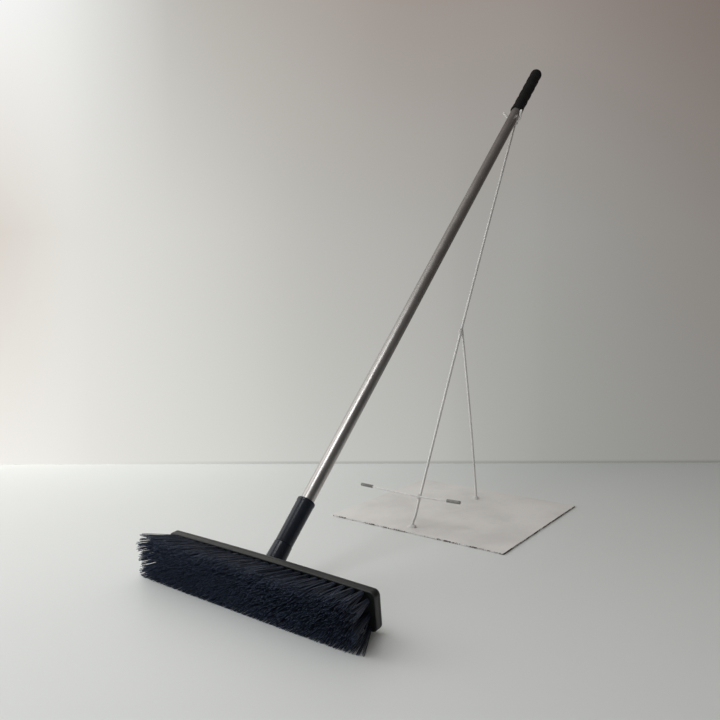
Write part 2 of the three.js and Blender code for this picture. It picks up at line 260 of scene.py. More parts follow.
def lofted(name, rings, place, capped=False):
    """A skin over rings with equal counts of points; a ring of one point is a pole."""
    vertices, numbered, faces = [], [], []
    count = max(len(ring) for ring in rings)
    for ring in rings:
        first = len(vertices)
        vertices += ring
        numbered.append([first] * count if len(ring) == 1 else list(range(first, first + count)))
    for lower, upper in zip(numbered, numbered[1:]):
        for i in range(count):
            j = (i + 1) % count
            face = list(dict.fromkeys((lower[i], lower[j], upper[j], upper[i])))
            if len(face) > 2:
                faces.append(face)
    if capped:
        faces += [numbered[0][::-1], numbered[-1]]
    return placed(object_from(name, vertices, faces), place)


def turned(name, profile, place, segments=96, swell=None):
    """A profile of (radius, station) points turned about +Z of the place.
    swell(station, angle, radius) adds to the radius of points that aren't on the axis."""
    rings = []
    for radius, station in profile:
        ring = [(0, 0, station)]
        if radius > 1e-9:
            angles = [TAU * i / segments for i in range(segments)]
            radii = [radius + (swell(station, a, radius) if swell else 0) for a in angles]
            ring = [(r * math.cos(a), r * math.sin(a), station) for r, a in zip(radii, angles)]
        rings.append(ring)
    return lofted(name, rings, place)


def quarter(steps):
    """Angles from 0 to a quarter turn."""
    return [math.pi / 2 * k / steps for k in range(steps + 1)]


def rounded_rectangle(length, width, corner, crown=0.0, steps=8, side_steps=24):
    """Points round a rectangle with round corners, whose long sides bulge by crown."""
    x, y = length / 2 - corner, width / 2 - corner
    crowned = lambda at: crown * (1 - (at / x) ** 2)
    points = []
    for cx, cy, start in ((x, -y, -90), (x, y, 0), (-x, y, 90), (-x, -y, 180)):
        for i in range(steps + 1):
            angle = math.radians(start + 90 * i / steps)
            points.append((cx + corner * math.cos(angle), cy + corner * math.sin(angle)))
        if start in (0, 180):
            side = math.copysign(1, cy)
            for i in range(1, side_steps):
                at = cx * (1 - 2 * i / side_steps)
                points.append((at, side * (width / 2 + crowned(at))))
    return points


def stacked(name, layers, place):
    """A closed solid through layers of equal outlines, each a (height, points) pair."""
    rings = [[(x, y, height) for x, y in points] for height, points in layers]
    return lofted(name, rings, place, capped=True)


def box_between(name, corner, opposite, place):
    corners = list(itertools.product(*zip(corner, opposite)))
    faces = [(0, 1, 3, 2), (4, 6, 7, 5), (0, 4, 5, 1), (2, 3, 7, 6), (0, 2, 6, 4), (1, 5, 7, 3)]
    return placed(object_from(name, corners, faces), place)


def smooth_path(points, count):
    """A curve through points, as count points evenly spread along its length."""
    points = [Vector(p) for p in points]
    fine = []
    padded = [2 * points[0] - points[1], *points, 2 * points[-1] - points[-2]]
    for p0, p1, p2, p3 in zip(padded, padded[1:], padded[2:], padded[3:]):
        d0, d1, d2 = (math.sqrt((q - p).length) for p, q in ((p0, p1), (p1, p2), (p2, p3)))
        leave = ((p1 - p0) / d0 - (p2 - p0) / (d0 + d1) + (p2 - p1) / d1) * d1
        arrive = ((p2 - p1) / d1 - (p3 - p1) / (d1 + d2) + (p3 - p2) / d2) * d1
        for k in range(24):
            t = k / 24
            fine.append(p1 + leave * t + (3 * (p2 - p1) - 2 * leave - arrive) * t * t
                        + (2 * (p1 - p2) + leave + arrive) * t ** 3)
    fine.append(points[-1])
    lengths = np.cumsum([0] + [(b - a).length for a, b in zip(fine, fine[1:])])
    stations = np.linspace(0, lengths[-1], count)
    columns = [np.interp(stations, lengths, [p[axis] for p in fine]) for axis in range(3)]
    return [Vector(p) for p in zip(*columns)]


def swept(name, path, radius, sides, lump):
    """A rod with round ends along a path; lump(point) adds to its radius."""
    last = len(path) - 1
    tangents = [(path[min(i + 1, last)] - path[max(i - 1, 0)]).normalized()
                for i in range(len(path))]
    side = tangents[0].orthogonal().normalized()
    dome = quarter(4)
    stops = [(0, -math.cos(a), math.sin(a)) for a in dome[:-1]]
    stops += [(i, 0, 1) for i in range(len(path))]
    stops += [(last, math.sin(a), math.cos(a)) for a in dome[1:]]
    rings = []
    for at, shift, share in stops:
        side = (side - tangents[at] * side.dot(tangents[at])).normalized()
        across = tangents[at].cross(side)
        centre = path[at] + tangents[at] * shift * radius
        ring = [centre]
        if share > 1e-6:
            turns = [TAU * i / sides for i in range(sides)]
            outs = [side * math.cos(turn) + across * math.sin(turn) for turn in turns]
            points = [centre + out * radius * share for out in outs]
            ring = [point + out * lump(point) for point, out in zip(points, outs)]
        rings.append(ring)
    return lofted(name, rings, Matrix.Identity(4))


# ---- Node tools ----

class Value:
    """A node's output that sums can be written with."""

    def __init__(self, tree, socket):
        self.tree = tree
        self.socket = socket

    def __add__(self, other):
        return self.tree.math("ADD", self, other)

    def __sub__(self, other):
        return self.tree.math("SUBTRACT", self, other)

    def __rsub__(self, other):
        return self.tree.math("SUBTRACT", other, self)

    def __mul__(self, other):
        return self.tree.math("MULTIPLY", self, other)

    def __truediv__(self, other):
        return self.tree.math("DIVIDE", self, other)


class Tree:
    """Places nodes in a node tree and links them by name or number."""

    def __init__(self, tree):
        self.tree = tree

    def add(self, kind, inputs=None, **settings):
        node = self.tree.nodes.new(kind)
        for key, value in settings.items():
            setattr(node, key, value)
        for key, value in (inputs or {}).items():
            self.feed(node.inputs[key], value)
        return node

    def get(self, output, kind, inputs=None, **settings):
        """A new node's output, by name or number."""
        return Value(self, self.add(kind, inputs, **settings).outputs[output])

    def feed(self, socket, value):
        value = value.socket if isinstance(value, Value) else value
        if isinstance(value, bpy.types.NodeSocket):
            self.tree.links.new(value, socket)
        else:
            socket.default_value = value

    def live(self, sockets, name):
        """The socket of that name that is in use; some nodes have one for each type."""
        return next(s for s in sockets if s.name == name and s.enabled)

    def math(self, operation, a, b=0.0, clamp=False):
        return self.get(0, "ShaderNodeMath", {0: a, 1: b}, operation=operation, use_clamp=clamp)

    def vector(self, operation, a, b, output=0):
        return self.get(output, "ShaderNodeVectorMath", {0: a, 1: b}, operation=operation)

    def scaled(self, vector, share):
        return self.get(0, "ShaderNodeVectorMath", {0: vector, "Scale": share}, operation="SCALE")

    def xyz(self, x, y, z):
        return self.get(0, "ShaderNodeCombineXYZ", {0: x, 1: y, 2: z})

    def parts(self, vector):
        node = self.add("ShaderNodeSeparateXYZ", {0: vector})
        return [Value(self, out) for out in node.outputs]

    def range(self, value, low, high, to_low=0.0, to_high=1.0, kind="SMOOTHSTEP"):
        """A value mapped from one range to another and clamped to it."""
        return self.get("Result", "ShaderNodeMapRange",
                        {"Value": value, "From Min": low, "From Max": high,
                         "To Min": to_low, "To Max": to_high}, interpolation_type=kind)

    def mix(self, factor, a, b):
        """Two colours mixed by factor."""
        return self.get("Result", "ShaderNodeMix", {"Factor": factor, "A": a, "B": b},
                        data_type="RGBA")

    def noise(self, where, scale, detail=3.0, roughness=0.5, stretch=None):
        if stretch:
            where = self.vector("MULTIPLY", where, stretch)
        return self.get(0, "ShaderNodeTexNoise", {"Vector": where, "Scale": scale,
                                                  "Detail": detail, "Roughness": roughness})

    def attribute(self, name):
        return self.get("Fac", "ShaderNodeAttribute", attribute_name=name)

    def store(self, geometry, name, value, kind="FLOAT"):
        """Geometry with a value stored on its points."""
        node = self.add("GeometryNodeStoreNamedAttribute", {"Geometry": geometry, "Name": name},
                        data_type=kind, domain="POINT")
        self.feed(self.live(node.inputs, "Value"), value)
        return node.outputs[0]

    def stored(self, name, kind="FLOAT"):
        node = self.add("GeometryNodeInputNamedAttribute", {"Name": name}, data_type=kind)
        return Value(self, self.live(node.outputs, "Attribute"))

    def chance(self, low, high, seed, number=None):
        """A random value between low and high, for a number or for each point's own."""
        node = self.add("FunctionNodeRandomValue", data_type="FLOAT")
        for label, value in (("Min", low), ("Max", high), ("ID", number), ("Seed", seed)):
            if value is not None:
                self.feed(self.live(node.inputs, label), value)
        return Value(self, self.live(node.outputs, "Value"))

    def finish(self, geometry, material, end):
        """Makes instances real, gives them their material and sends them out."""
        whole = self.get(0, "GeometryNodeRealizeInstances", {"Geometry": geometry})
        self.feed(end[0], self.get(0, "GeometryNodeSetMaterial",
                                   {"Geometry": whole, "Material": material}))


SOCKETS = {float: "NodeSocketFloat", int: "NodeSocketInt", tuple: "NodeSocketColor",
           Vector: "NodeSocketVector"}
GREY = (0.5, 0.5, 0.5, 1.0)


def node_group(name, kind, inputs, outputs):
    """A new node group with named sockets, its tree, and what goes in and comes out."""
    group = bpy.data.node_groups.new(name, kind)
    for label, default in inputs.items():
        socket = group.interface.new_socket(label, in_out="INPUT",
                                            socket_type=SOCKETS[type(default)])
        socket.default_value = default
    for label, sort in outputs.items():
        group.interface.new_socket(label, in_out="OUTPUT", socket_type=f"NodeSocket{sort}")
    tree = Tree(group)
    start = {out.name: Value(tree, out) for out in group.nodes.new("NodeGroupInput").outputs}
    return group, tree, start, group.nodes.new("NodeGroupOutput").inputs


def shader_group(name, inputs, outputs):
    """Turns a function that fills a tree into one that gives its node group, built once."""
    def wrap(fill):
        def ask():
            if name not in bpy.data.node_groups:
                tree, start, end = node_group(name, "ShaderNodeTree", inputs, outputs)[1:]
                for label, value in fill(tree, start).items():
                    tree.feed(end[label], value)
            return bpy.data.node_groups[name]
        return ask
    return wrap


@shader_group("Moulded Grain",
              {"Vector": Vector(), "Scale": 900.0, "Roughness": 0.5, "Variation": 0.2},
              {"Height": "Float", "Roughness": "Float"})
def grain_group(tree, start):
    """Fine moulded or cast grain: a height for the bump and a value that varies roughness."""
    fine = tree.noise(start["Vector"], start["Scale"], 4, 0.6)
    broad = tree.noise(start["Vector"], start["Scale"] * 0.06, 3)
    spread = (broad - 0.5) * start["Variation"]
    return {"Height": fine, "Roughness": tree.math("ADD", start["Roughness"], spread, clamp=True)}


@shader_group("Surface Tint",
              {"Vector": Vector(), "Base": GREY, "Cloud": GREY, "Cloud Scale": 20.0,
               "Fleck": GREY, "Fleck Scale": 300.0, "Fleck Level": 0.7},
              {"Color": "Color"})
def tint_group(tree, start):
    """A base colour that drifts a little towards a second one, with specks of a third."""
    cloud = tree.noise(start["Vector"], start["Cloud Scale"], 4, 0.55)
    base = tree.mix(tree.range(cloud, 0.35, 0.7), start["Base"], start["Cloud"])
    fleck = tree.noise(start["Vector"], start["Fleck Scale"], 2, 0.5)
    share = tree.range(fleck, start["Fleck Level"], start["Fleck Level"] + 0.05)
    return {"Color": tree.mix(share, base, start["Fleck"])}


@shader_group("Chipped Paint",
              {"Vector": Vector(), "Chance": 0.3, "Dark Rust": GREY, "Light Rust": GREY},
              {"Bare": "Float", "Rust": "Color"})
def rust_group(tree, start):
    """Where paint has chipped: a mask from a chance of chipping, with ragged borders."""
    ragged = tree.noise(start["Vector"], 420, 5, 0.65)
    broad = tree.noise(start["Vector"], 38, 2, 0.5)
    need = 1.0 - start["Chance"]
    bare = tree.range(ragged * 0.6 + broad * 0.4, need, need + 0.035)
    tone = tree.range(tree.noise(start["Vector"], 900, 4, 0.6), 0.35, 0.65)
    return {"Bare": bare, "Rust": tree.mix(tone, start["Dark Rust"], start["Light Rust"])}


def use_group(tree, group, **inputs):
    node = tree.add("ShaderNodeGroup", node_tree=group)
    for label, value in inputs.items():
        tree.feed(node.inputs[label.replace("_", " ")], value)
    return {out.name: Value(tree, out) for out in node.outputs}


def rgba(colour):
    return (*colour[:3], 1.0)


def colours():
    return bpy.context.scene.broom_colours


def blank_material(name):
    """A material's tree, its shader node and its object coordinates."""
    material = bpy.data.materials.new(name)
    material.use_nodes = True
    tree = Tree(material.node_tree)
    shader = material.node_tree.nodes["Principled BSDF"]
    return material, tree, shader, tree.get("Object", "ShaderNodeTexCoord")


def dress(tree, shader, colour, roughness, height, depth):
    """Colour, roughness and bump for a surface; depth is the bump's height in metres."""
    tree.feed(shader.inputs["Base Color"], colour)
    tree.feed(shader.inputs["Roughness"], roughness)
    tree.feed(shader.inputs["Normal"],
              tree.get("Normal", "ShaderNodeBump", {"Height": height, "Distance": depth}))


def finish_once(build):
    """Builds a material the first time that it is asked for."""
    made = {}

    def ask(*key):
        if key not in made:
            made[key] = build(*key)
        return made[key]

    return ask


# ---- Materials ----

# Colour, then (tone, scale) of its clouds, (tone, scale, level) of its flecks, (scale,
# roughness, variation) of its grain and the depth of the grain in metres.
MOULDED = {
    "block plastic": ("block", (1.35, 26.0), (2.6, 520.0, 0.68), (1500.0, 0.4, 0.3), 0.00008),
    "socket plastic": ("socket", (1.3, 30.0), (3.0, 700.0, 0.72), (700.0, 0.24, 0.22), 0.00008),
    "grip rubber": ("grip", (1.5, 40.0), (4.0, 800.0, 0.7), (1900.0, 0.62, 0.3), 0.00018),
    "tip plastic": ("tip", (0.6, 120.0), (1.6, 700.0, 0.66), (1500.0, 0.55, 0.25), 0.0001),
}
SPECULAR = {"socket plastic": 0.35, "grip rubber": 0.3}


@finish_once
def moulded(name):
    """Moulded plastic or rubber: drifting colour with flecks, and a fine grain."""
    key, cloud, fleck, (scale, roughness, variation), depth = MOULDED[name]
    material, tree, shader, where = blank_material(name)
    base = Vector(getattr(colours(), key))
    tint = use_group(tree, tint_group(), Vector=where, Base=rgba(base),
                     Cloud=rgba(base * cloud[0]), Cloud_Scale=cloud[1],
                     Fleck=rgba(base * fleck[0]), Fleck_Scale=fleck[1], Fleck_Level=fleck[2])
    grain = use_group(tree, grain_group(), Vector=where, Scale=scale, Roughness=roughness,
                      Variation=variation)
    height = grain["Height"]
    if name == "socket plastic":
        height = height * 0.5 + tree.noise(where, 60, 5, 0.7, stretch=(1.0, 8.0, 8.0))
    dress(tree, shader, tint["Color"], grain["Roughness"], height, depth)
    shader.inputs["Specular IOR Level"].default_value = SPECULAR.get(name, 0.5)
    return material


@finish_once
def bristle_fibre():
    material, tree, shader, where = blank_material("bristle fibre")
    base = Vector(colours().bristle)
    toned = tree.mix(tree.attribute("strand"), rgba(base * 0.7), rgba(base * 1.5))
    tip = tree.range(tree.attribute("along"), 0.9, 1.0, 0.0, 0.4)
    tree.feed(shader.inputs["Base Color"], tree.mix(tip, toned, rgba(base * 2.6)))
    streak = tree.noise(where, 260, 3)
    tree.feed(shader.inputs["Roughness"], tree.range(streak, 0.3, 0.7, 0.34, 0.5))
    shader.inputs["Specular IOR Level"].default_value = 0.4
    return material


@finish_once
def screw_steel():
    material, tree, shader, where = blank_material("screw steel")
    tint = use_group(tree, tint_group(), Vector=where, Base=(0.5, 0.5, 0.49, 1),
                     Cloud=(0.36, 0.35, 0.32, 1), Cloud_Scale=160.0,
                     Fleck=(0.12, 0.1, 0.08, 1), Fleck_Scale=900.0, Fleck_Level=0.66)
    grain = use_group(tree, grain_group(), Vector=where, Scale=1800.0, Roughness=0.34,
                      Variation=0.3)
    dress(tree, shader, tint["Color"], grain["Roughness"], grain["Height"], 0.00004)
    shader.inputs["Metallic"].default_value = 1.0
    return material


@finish_once
def tube_aluminium():
    """Drawn aluminium, with streaks along the tube; its pattern lies in the handle's frame."""
    material, tree, shader, where = blank_material("tube aluminium")
    local = tree.get(0, "ShaderNodeMapping", {"Vector": where, "Rotation": HANDLE.to_euler(),
                                              "Location": HANDLE.translation},
                     vector_type="TEXTURE")
    drawn = tree.noise(local, 1100, 3, 0.6, stretch=(1.0, 1.0, 0.02))
    polish = tree.noise(local, 1400, 2, 0.5, stretch=(0.25, 0.25, 1.0))
    cloud = tree.noise(local, 9, 4, 0.6, stretch=(1.0, 1.0, 0.35))
    smear = tree.noise(local, 46, 5, 0.65)
    base = Vector(colours().tube)
    tone = tree.mix(tree.range(cloud, 0.3, 0.72), rgba(base), rgba(base * 0.84))
    fleck = tree.range(tree.noise(local, 420, 2), 0.7, 0.76, 0.0, 0.5)
    rough = tree.range(smear, 0.3, 0.75, 0.30, 0.42) + (drawn - 0.5) * 0.12
    dress(tree, shader, tree.mix(fleck, tone, rgba(base * 0.45)), rough, polish * 0.5 + drawn,
          0.00003)
    shader.inputs["Metallic"].default_value = 1.0
    return material


@finish_once
def stand_paint(chipping, tone=1.0):
    """Off-white paint. chipping is the chance of bare metal away from the worn edges."""
    material, tree, shader, where = blank_material(f"stand paint {chipping:g}")
    base = Vector(colours().paint) * tone
    rust = Vector(colours().rust)
    tint = use_group(tree, tint_group(), Vector=where, Base=rgba(base), Cloud=rgba(base * 0.86),
                     Cloud_Scale=9.0, Fleck=(0.3, 0.24, 0.18, 1), Fleck_Scale=260.0,
                     Fleck_Level=0.76)
    chips = use_group(tree, rust_group(), Vector=where,
                      Chance=tree.attribute("edge") * 0.42 + chipping,
                      Dark_Rust=rgba(rust * 0.55), Light_Rust=rgba(rust))
    brushed = tree.noise(where, 130, 4, 0.6)
    dress(tree, shader, tree.mix(chips["Bare"], tint["Color"], chips["Rust"]),
          tree.range(brushed, 0.3, 0.7, 0.42, 0.56) + chips["Bare"] * 0.3,
          brushed * 0.5 - chips["Bare"], 0.0002)
    return material


# ---- Settings that a user would change ----

def colour(name, description, default):
    return FloatVectorProperty(name=name, description=description, default=default, size=3,
                               subtype="COLOR", min=0, max=1)


def length(name, description, default):
    return FloatProperty(name=name, description=description, default=default, min=0,
                         precision=5, unit="LENGTH")


class BroomColours(bpy.types.PropertyGroup):
    block: colour("Block", "Moulded block that holds the tufts", (0.017, 0.0185, 0.018))
    bristle: colour("Bristles", "Filaments", (0.042, 0.055, 0.088))
    socket: colour("Socket", "Socket and the sleeve on the handle's foot", (0.0145, 0.0185, 0.0285))
    tube: colour("Tube", "Drawn aluminium tube", (0.60, 0.575, 0.56))
    grip: colour("Grip", "Rubber grip", (0.0062, 0.0060, 0.0064))
    paint: colour("Paint", "Paint on the stand", (0.79, 0.775, 0.76))
    rust: colour("Rust", "Bare metal where the paint has gone", (0.110, 0.080, 0.060))
    tip: colour("Tips", "Caps on the crossbar", (0.27, 0.27, 0.26))


class BroomSizes(bpy.types.PropertyGroup):
    filaments: IntProperty(name="Filaments", description="Filaments in each tuft",
                           default=32, min=6, max=60)
    filament_radius: length("Filament Radius", "Half the thickness of one filament", 0.00043)
    tuft_radius: length("Tuft Radius", "Radius of the hole that holds a tuft", 0.0030)
    tuft_spacing: length("Tuft Spacing", "Distance from one tuft to the next in a row", 0.015)
    tuft_spread: FloatProperty(name="Tuft Spread", description="How far a tuft opens on each side",
                               default=math.radians(6.0), subtype="ANGLE")
    block_edge: length("Block Edge", "Rounding of the block's edges", 0.0016)
    flange_edge: length("Flange Edge", "Rounding of the socket's flange", 0.0012)
    thread_bead: length("Thread Bead", "Height of the screw thread", 0.0014)
    tube_wall: length("Tube Wall", "Thickness of the tube's wall", 0.001)
    mast_radius: length("Mast Radius", "Half the thickness of the mast rod", 0.0025)
    brace_radius: length("Brace Radius", "Half the thickness of the brace rod", 0.0023)
    crossbar_radius: length("Crossbar Radius", "Half the thickness of the crossbar", 0.0018)
    cradle_radius: length("Cradle Radius", "Half the thickness of the cradle rod", 0.0025)


def sizes():
    return bpy.context.scene.broom_sizes


# ---- Block ----

UPRIGHT = Matrix(((1, 0, 0, 0), (0, 0, 1, 0), (0, 1, 0, 0), (0, 0, 0, 1)))


class BROOM_OT_block(bpy.types.Operator):
    """Makes the block with its rounded rim, its recessed front and its tuft holes"""

    bl_idname = "broom.block"
    bl_label = "Block"

    def execute(self, context):
        low, high = (Vector(c) for c in bounds_in("brush_block", HEAD))
        corner, crown = 8 * MM, 1.8 * MM
        length_, width = high.x - low.x, high.z - low.z - 2 * crown
        edge = sizes().block_edge
        thick = high.y - low.y
        rim, recess = 2.4 * MM, 0.9 * MM
        groove_at, groove_deep = 0.62, 0.45 * MM
        groove = ((-0.06, 0), (-0.03, groove_deep), (0.03, groove_deep), (0.06, 0))
        steps = [(recess, rim + 0.5 * MM), (0.25 * MM, rim), (0.0, rim - 0.4 * MM)]
        steps += [(edge * (1 - math.cos(a)), edge * (1 - math.sin(a))) for a in quarter(4)]
        steps += [(thick * (groove_at + shift), inset) for shift, inset in groove]
        steps += [(thick - edge * (1 - math.sin(a)), edge * (1 - math.cos(a))) for a in quarter(4)]
        layers = [(low.y + depth, rounded_rectangle(length_ - 2 * inset, width - 2 * inset,
                                                    corner - inset, crown))
                  for depth, inset in steps]
        made = stacked("brush_block_body", layers, HEAD @ UPRIGHT)
        join_or_cut(made, [tuft_holes(low.y)], "DIFFERENCE")
        settle(made, "broom_head", ["brush_block"], moulded("block plastic"), 28)
        return {"FINISHED"}


def bounds_in(node, matrix):
    points = within(node, matrix)
    return points.min(0), points.max(0)


def tuft_rows():
    """Each row's tuft count, root height, fan angle and bristle length, from its node."""
    rows = []
    spacing = sizes().tuft_spacing
    for i in range(1, 7):
        node = f"bristle_row_{i}"
        points = within(node, HEAD)
        root = points[:, 1].max()
        reach = root - points[:, 1].min()
        at_root = points[points[:, 1] > root - 0.1 * reach]
        at_tip = points[points[:, 1] < root - 0.9 * reach]
        middle_root, middle_tip = at_root.mean(0), at_tip.mean(0)
        fan = math.atan2(middle_tip[2] - middle_root[2], middle_root[1] - middle_tip[1])
        width = at_root[:, 0].max() - at_root[:, 0].min()
        tufts = round((width - 0.4 * spacing) / spacing) + 1
        rows.append({"node": node, "tufts": tufts, "height": middle_root[2], "fan": fan,
                     "length": reach / math.cos(fan), "root": root})
    return rows


def tuft_holes(front):
    """Shallow round holes in the block's front, one for each tuft, as one object."""
    shape = bmesh.new()
    radius = sizes().tuft_radius + 0.2 * MM
    for row in tuft_rows():
        for i in range(row["tufts"]):
            x = (i - (row["tufts"] - 1) / 2) * sizes().tuft_spacing
            place = Matrix.Translation((x, front + 1 * MM, row["height"]))
            place @= Matrix.Rotation(math.pi / 2, 4, "X")
            bmesh.ops.create_cone(shape, cap_ends=True, segments=14, radius1=radius,
                                  radius2=radius, depth=6 * MM, matrix=HEAD @ place)
    return object_of("tuft holes", shape)


# ---- Bristles ----

def bristle_tree(material):
    """Geometry Nodes: a row of tufts, each a bunch of filaments that spread and bend."""
    counts = dict.fromkeys(("Tufts", "Filaments", "Seed"), 0)
    measures = dict.fromkeys(("Spacing", "Tuft Radius", "Length", "Fan", "End Flare", "Spread",
                              "Filament Radius", "Root Depth", "Root Height", "Floor Slope",
                              "Floor Height", "Press"), 0.0)
    group, tree, start, end = node_group("Bristle Row", "GeometryNodeTree",
                                         {**counts, **measures}, {"Geometry": "Geometry"})

    chance = lambda low, high, draw, number: tree.chance(
        low, high, start["Seed"] + float(draw), number)
    sine = lambda angle: tree.math("SINE", angle)
    cosine = lambda angle: tree.math("COSINE", angle)

    # Where each filament stands: its tuft in the row, and its place in the tuft.
    index = tree.get(0, "GeometryNodeInputIndex")
    tuft = tree.math("FLOOR", (index + 0.5) / start["Filaments"])
    strand = index - tuft * start["Filaments"]
    middle_tuft = (start["Tufts"] - 1.0) / 2.0
    across = (tuft - middle_tuft) / middle_tuft
    ring = tree.math("SQRT", (strand + 0.5) / start["Filaments"])
    turn = strand * GOLDEN_ANGLE + chance(0.0, TAU, 1, tuft)
    ring_x, ring_z = ring * cosine(turn), ring * sine(turn)
    bundle = start["Tuft Radius"] - start["Filament Radius"]
    root = tree.xyz(across * middle_tuft * start["Spacing"] + ring_x * bundle,
                    start["Root Depth"], start["Root Height"] + ring_z * bundle)

    # Which way it points. Tufts near the ends flare out, and pressed rows are calmer.
    calm = 1.0 - start["Press"] * 0.6
    lean = start["End Flare"] * (across * (across * across)) + start["Spread"] * ring_x
    lean = lean + calm * chance(-0.03, 0.03, 2, tuft) + chance(-0.035, 0.035, 3, index)
    fan = start["Fan"] + start["Spread"] / (start["Press"] + 1.0) * ring_z
    fan = fan + calm * chance(-0.04, 0.04, 4, tuft) + chance(-0.04, 0.04, 5, index)
    flat = cosine(lean)
    way = tree.xyz(sine(lean), flat * cosine(fan) * -1.0, flat * sine(fan))
    reach = start["Length"] * chance(0.975, 1.0, 6, index) * chance(0.99, 1.0, 7, tuft)
    bend = tree.xyz(chance(-0.0016, 0.0016, 8, index), 0.0, chance(-0.0012, 0.0012, 9, index))

    points = tree.get(0, "GeometryNodePoints", {"Count": start["Tufts"] * start["Filaments"]})
    for label, value, kind in (("root", root, "FLOAT_VECTOR"), ("way", way, "FLOAT_VECTOR"),
                               ("bend", bend, "FLOAT_VECTOR"), ("reach", reach, "FLOAT"),
                               ("strand", chance(0.0, 1.0, 10, index), "FLOAT")):
        points = tree.store(points, label, value, kind)
    line = tree.get(0, "GeometryNodeCurvePrimitiveLine", {"Start": (0, 0, 0), "End": (0, 0, 1)})
    steps = tree.get(0, "GeometryNodeResampleCurve", {"Curve": line, "Count": 6})
    copies = tree.get(0, "GeometryNodeInstanceOnPoints", {"Points": points, "Instance": steps})
    strands = tree.get(0, "GeometryNodeRealizeInstances", {"Geometry": copies})
    kept = tree.store(strands, "along", tree.get("Factor", "GeometryNodeSplineParameter"))

    # Each point goes along its filament, and no lower than the floor.
    along = tree.stored("along")
    straight = tree.scaled(tree.stored("way", "FLOAT_VECTOR"), tree.stored("reach") * along)
    place = tree.vector("ADD", tree.stored("root", "FLOAT_VECTOR"), straight)
    place = tree.vector("ADD", place,
                        tree.scaled(tree.stored("bend", "FLOAT_VECTOR"), along * along))
    x, y, z = tree.parts(place)
    rested = tree.xyz(x, y, tree.math("MAXIMUM", z, start["Floor Height"]
                                      - y * start["Floor Slope"]))
    moved = tree.get(0, "GeometryNodeSetPosition", {"Geometry": kept, "Position": rested})
    profile = tree.get(0, "GeometryNodeCurvePrimitiveCircle",
                       {"Resolution": 5, "Radius": start["Filament Radius"]})
    thin = tree.range(along, 0.8, 1.0, 1.0, 0.8)
    sized = tree.get(0, "GeometryNodeSetCurveRadius", {"Curve": moved, "Radius": thin})
    solid = tree.add("GeometryNodeCurveToMesh",
                     {"Curve": sized, "Profile Curve": profile, "Fill Caps": True})
    if "Scale" in solid.inputs:
        tree.feed(solid.inputs["Scale"], thin)
    tree.finish(solid.outputs[0], material, end)
    return group


def grow(name, group, values):
    """Runs a Geometry Nodes tree on an empty mesh and returns the plain mesh object."""
    made = object_from(name, [], [])
    step = made.modifiers.new("grow", "NODES")
    step.node_group = group
    sockets = {s.name: s.identifier for s in group.interface.items_tree
               if getattr(s, "in_out", "") == "INPUT"}
    for label, value in values.items():
        step[sockets[label]] = value
    return applied(made)


class BROOM_OT_bristles(bpy.types.Operator):
    """Grows the six rows of tufts and lays the lowest filaments on the floor"""

    bl_idname = "broom.bristles"
    bl_label = "Bristles"

    def execute(self, context):
        material = bristle_fibre()
        group = bristle_tree(material)
        tilt = math.atan2(HEAD[2][1], HEAD[1][1])
        radius = sizes().filament_radius
        socketed = 4 * MM
        for number, row in enumerate(tuft_rows(), 1):
            pressed = max(0.0, 1 - (number - 1) / 2)
            made = grow(f"bristle_tufts_{number}", group, {
                "Tufts": row["tufts"], "Filaments": sizes().filaments, "Seed": 40 + 20 * number,
                "Spacing": sizes().tuft_spacing, "Tuft Radius": sizes().tuft_radius,
                "Length": row["length"] + socketed, "Fan": row["fan"],
                "End Flare": math.radians(17),
                "Spread": sizes().tuft_spread * (1 + pressed), "Press": pressed,
                "Filament Radius": radius, "Root Depth": row["root"] + socketed,
                "Root Height": row["height"], "Floor Slope": math.tan(tilt),
                "Floor Height": (radius - HEAD.translation.z) / math.cos(tilt)})
            made.data.transform(HEAD)
            made.data.shade_smooth()
            for helper in ("root", "way", "bend", "reach"):
                if helper in made.data.attributes:
                    made.data.attributes.remove(made.data.attributes[helper])
            settle(made, "broom_head", [row["node"]], material, sharp=0)
        return {"FINISHED"}


# ---- Socket, sleeve and thread ----

THREAD_PITCH = 5.6 * MM
FLANGE_THICK = 4 * MM
SCREW_HEAD = 2.4 * MM
TUBE_FIT = 0.15 * MM
OUT_OF_FLANGE = Matrix.Rotation(-math.pi / 2, 4, "X")


def thread_swell(bead, low, high, fade=2 * MM):
    """How far a round thread stands out at a station and angle, between two stations."""
    def swell(station, angle, radius):
        if not low - fade < station < high + fade:
            return 0.0
        turn = angle / TAU * THREAD_PITCH
        offset = (station - turn + THREAD_PITCH / 2) % THREAD_PITCH - THREAD_PITCH / 2
        height = math.sqrt(max(0.0, bead * bead - offset * offset))
        ends = min(1.0, (station - low + fade) / fade, (high + fade - station) / fade)
        return height * max(0.0, ends)
    return swell


def fine_stations(low, high, step):
    count = max(2, round((high - low) / step))
    return [low + (high - low) * i / count for i in range(count + 1)]


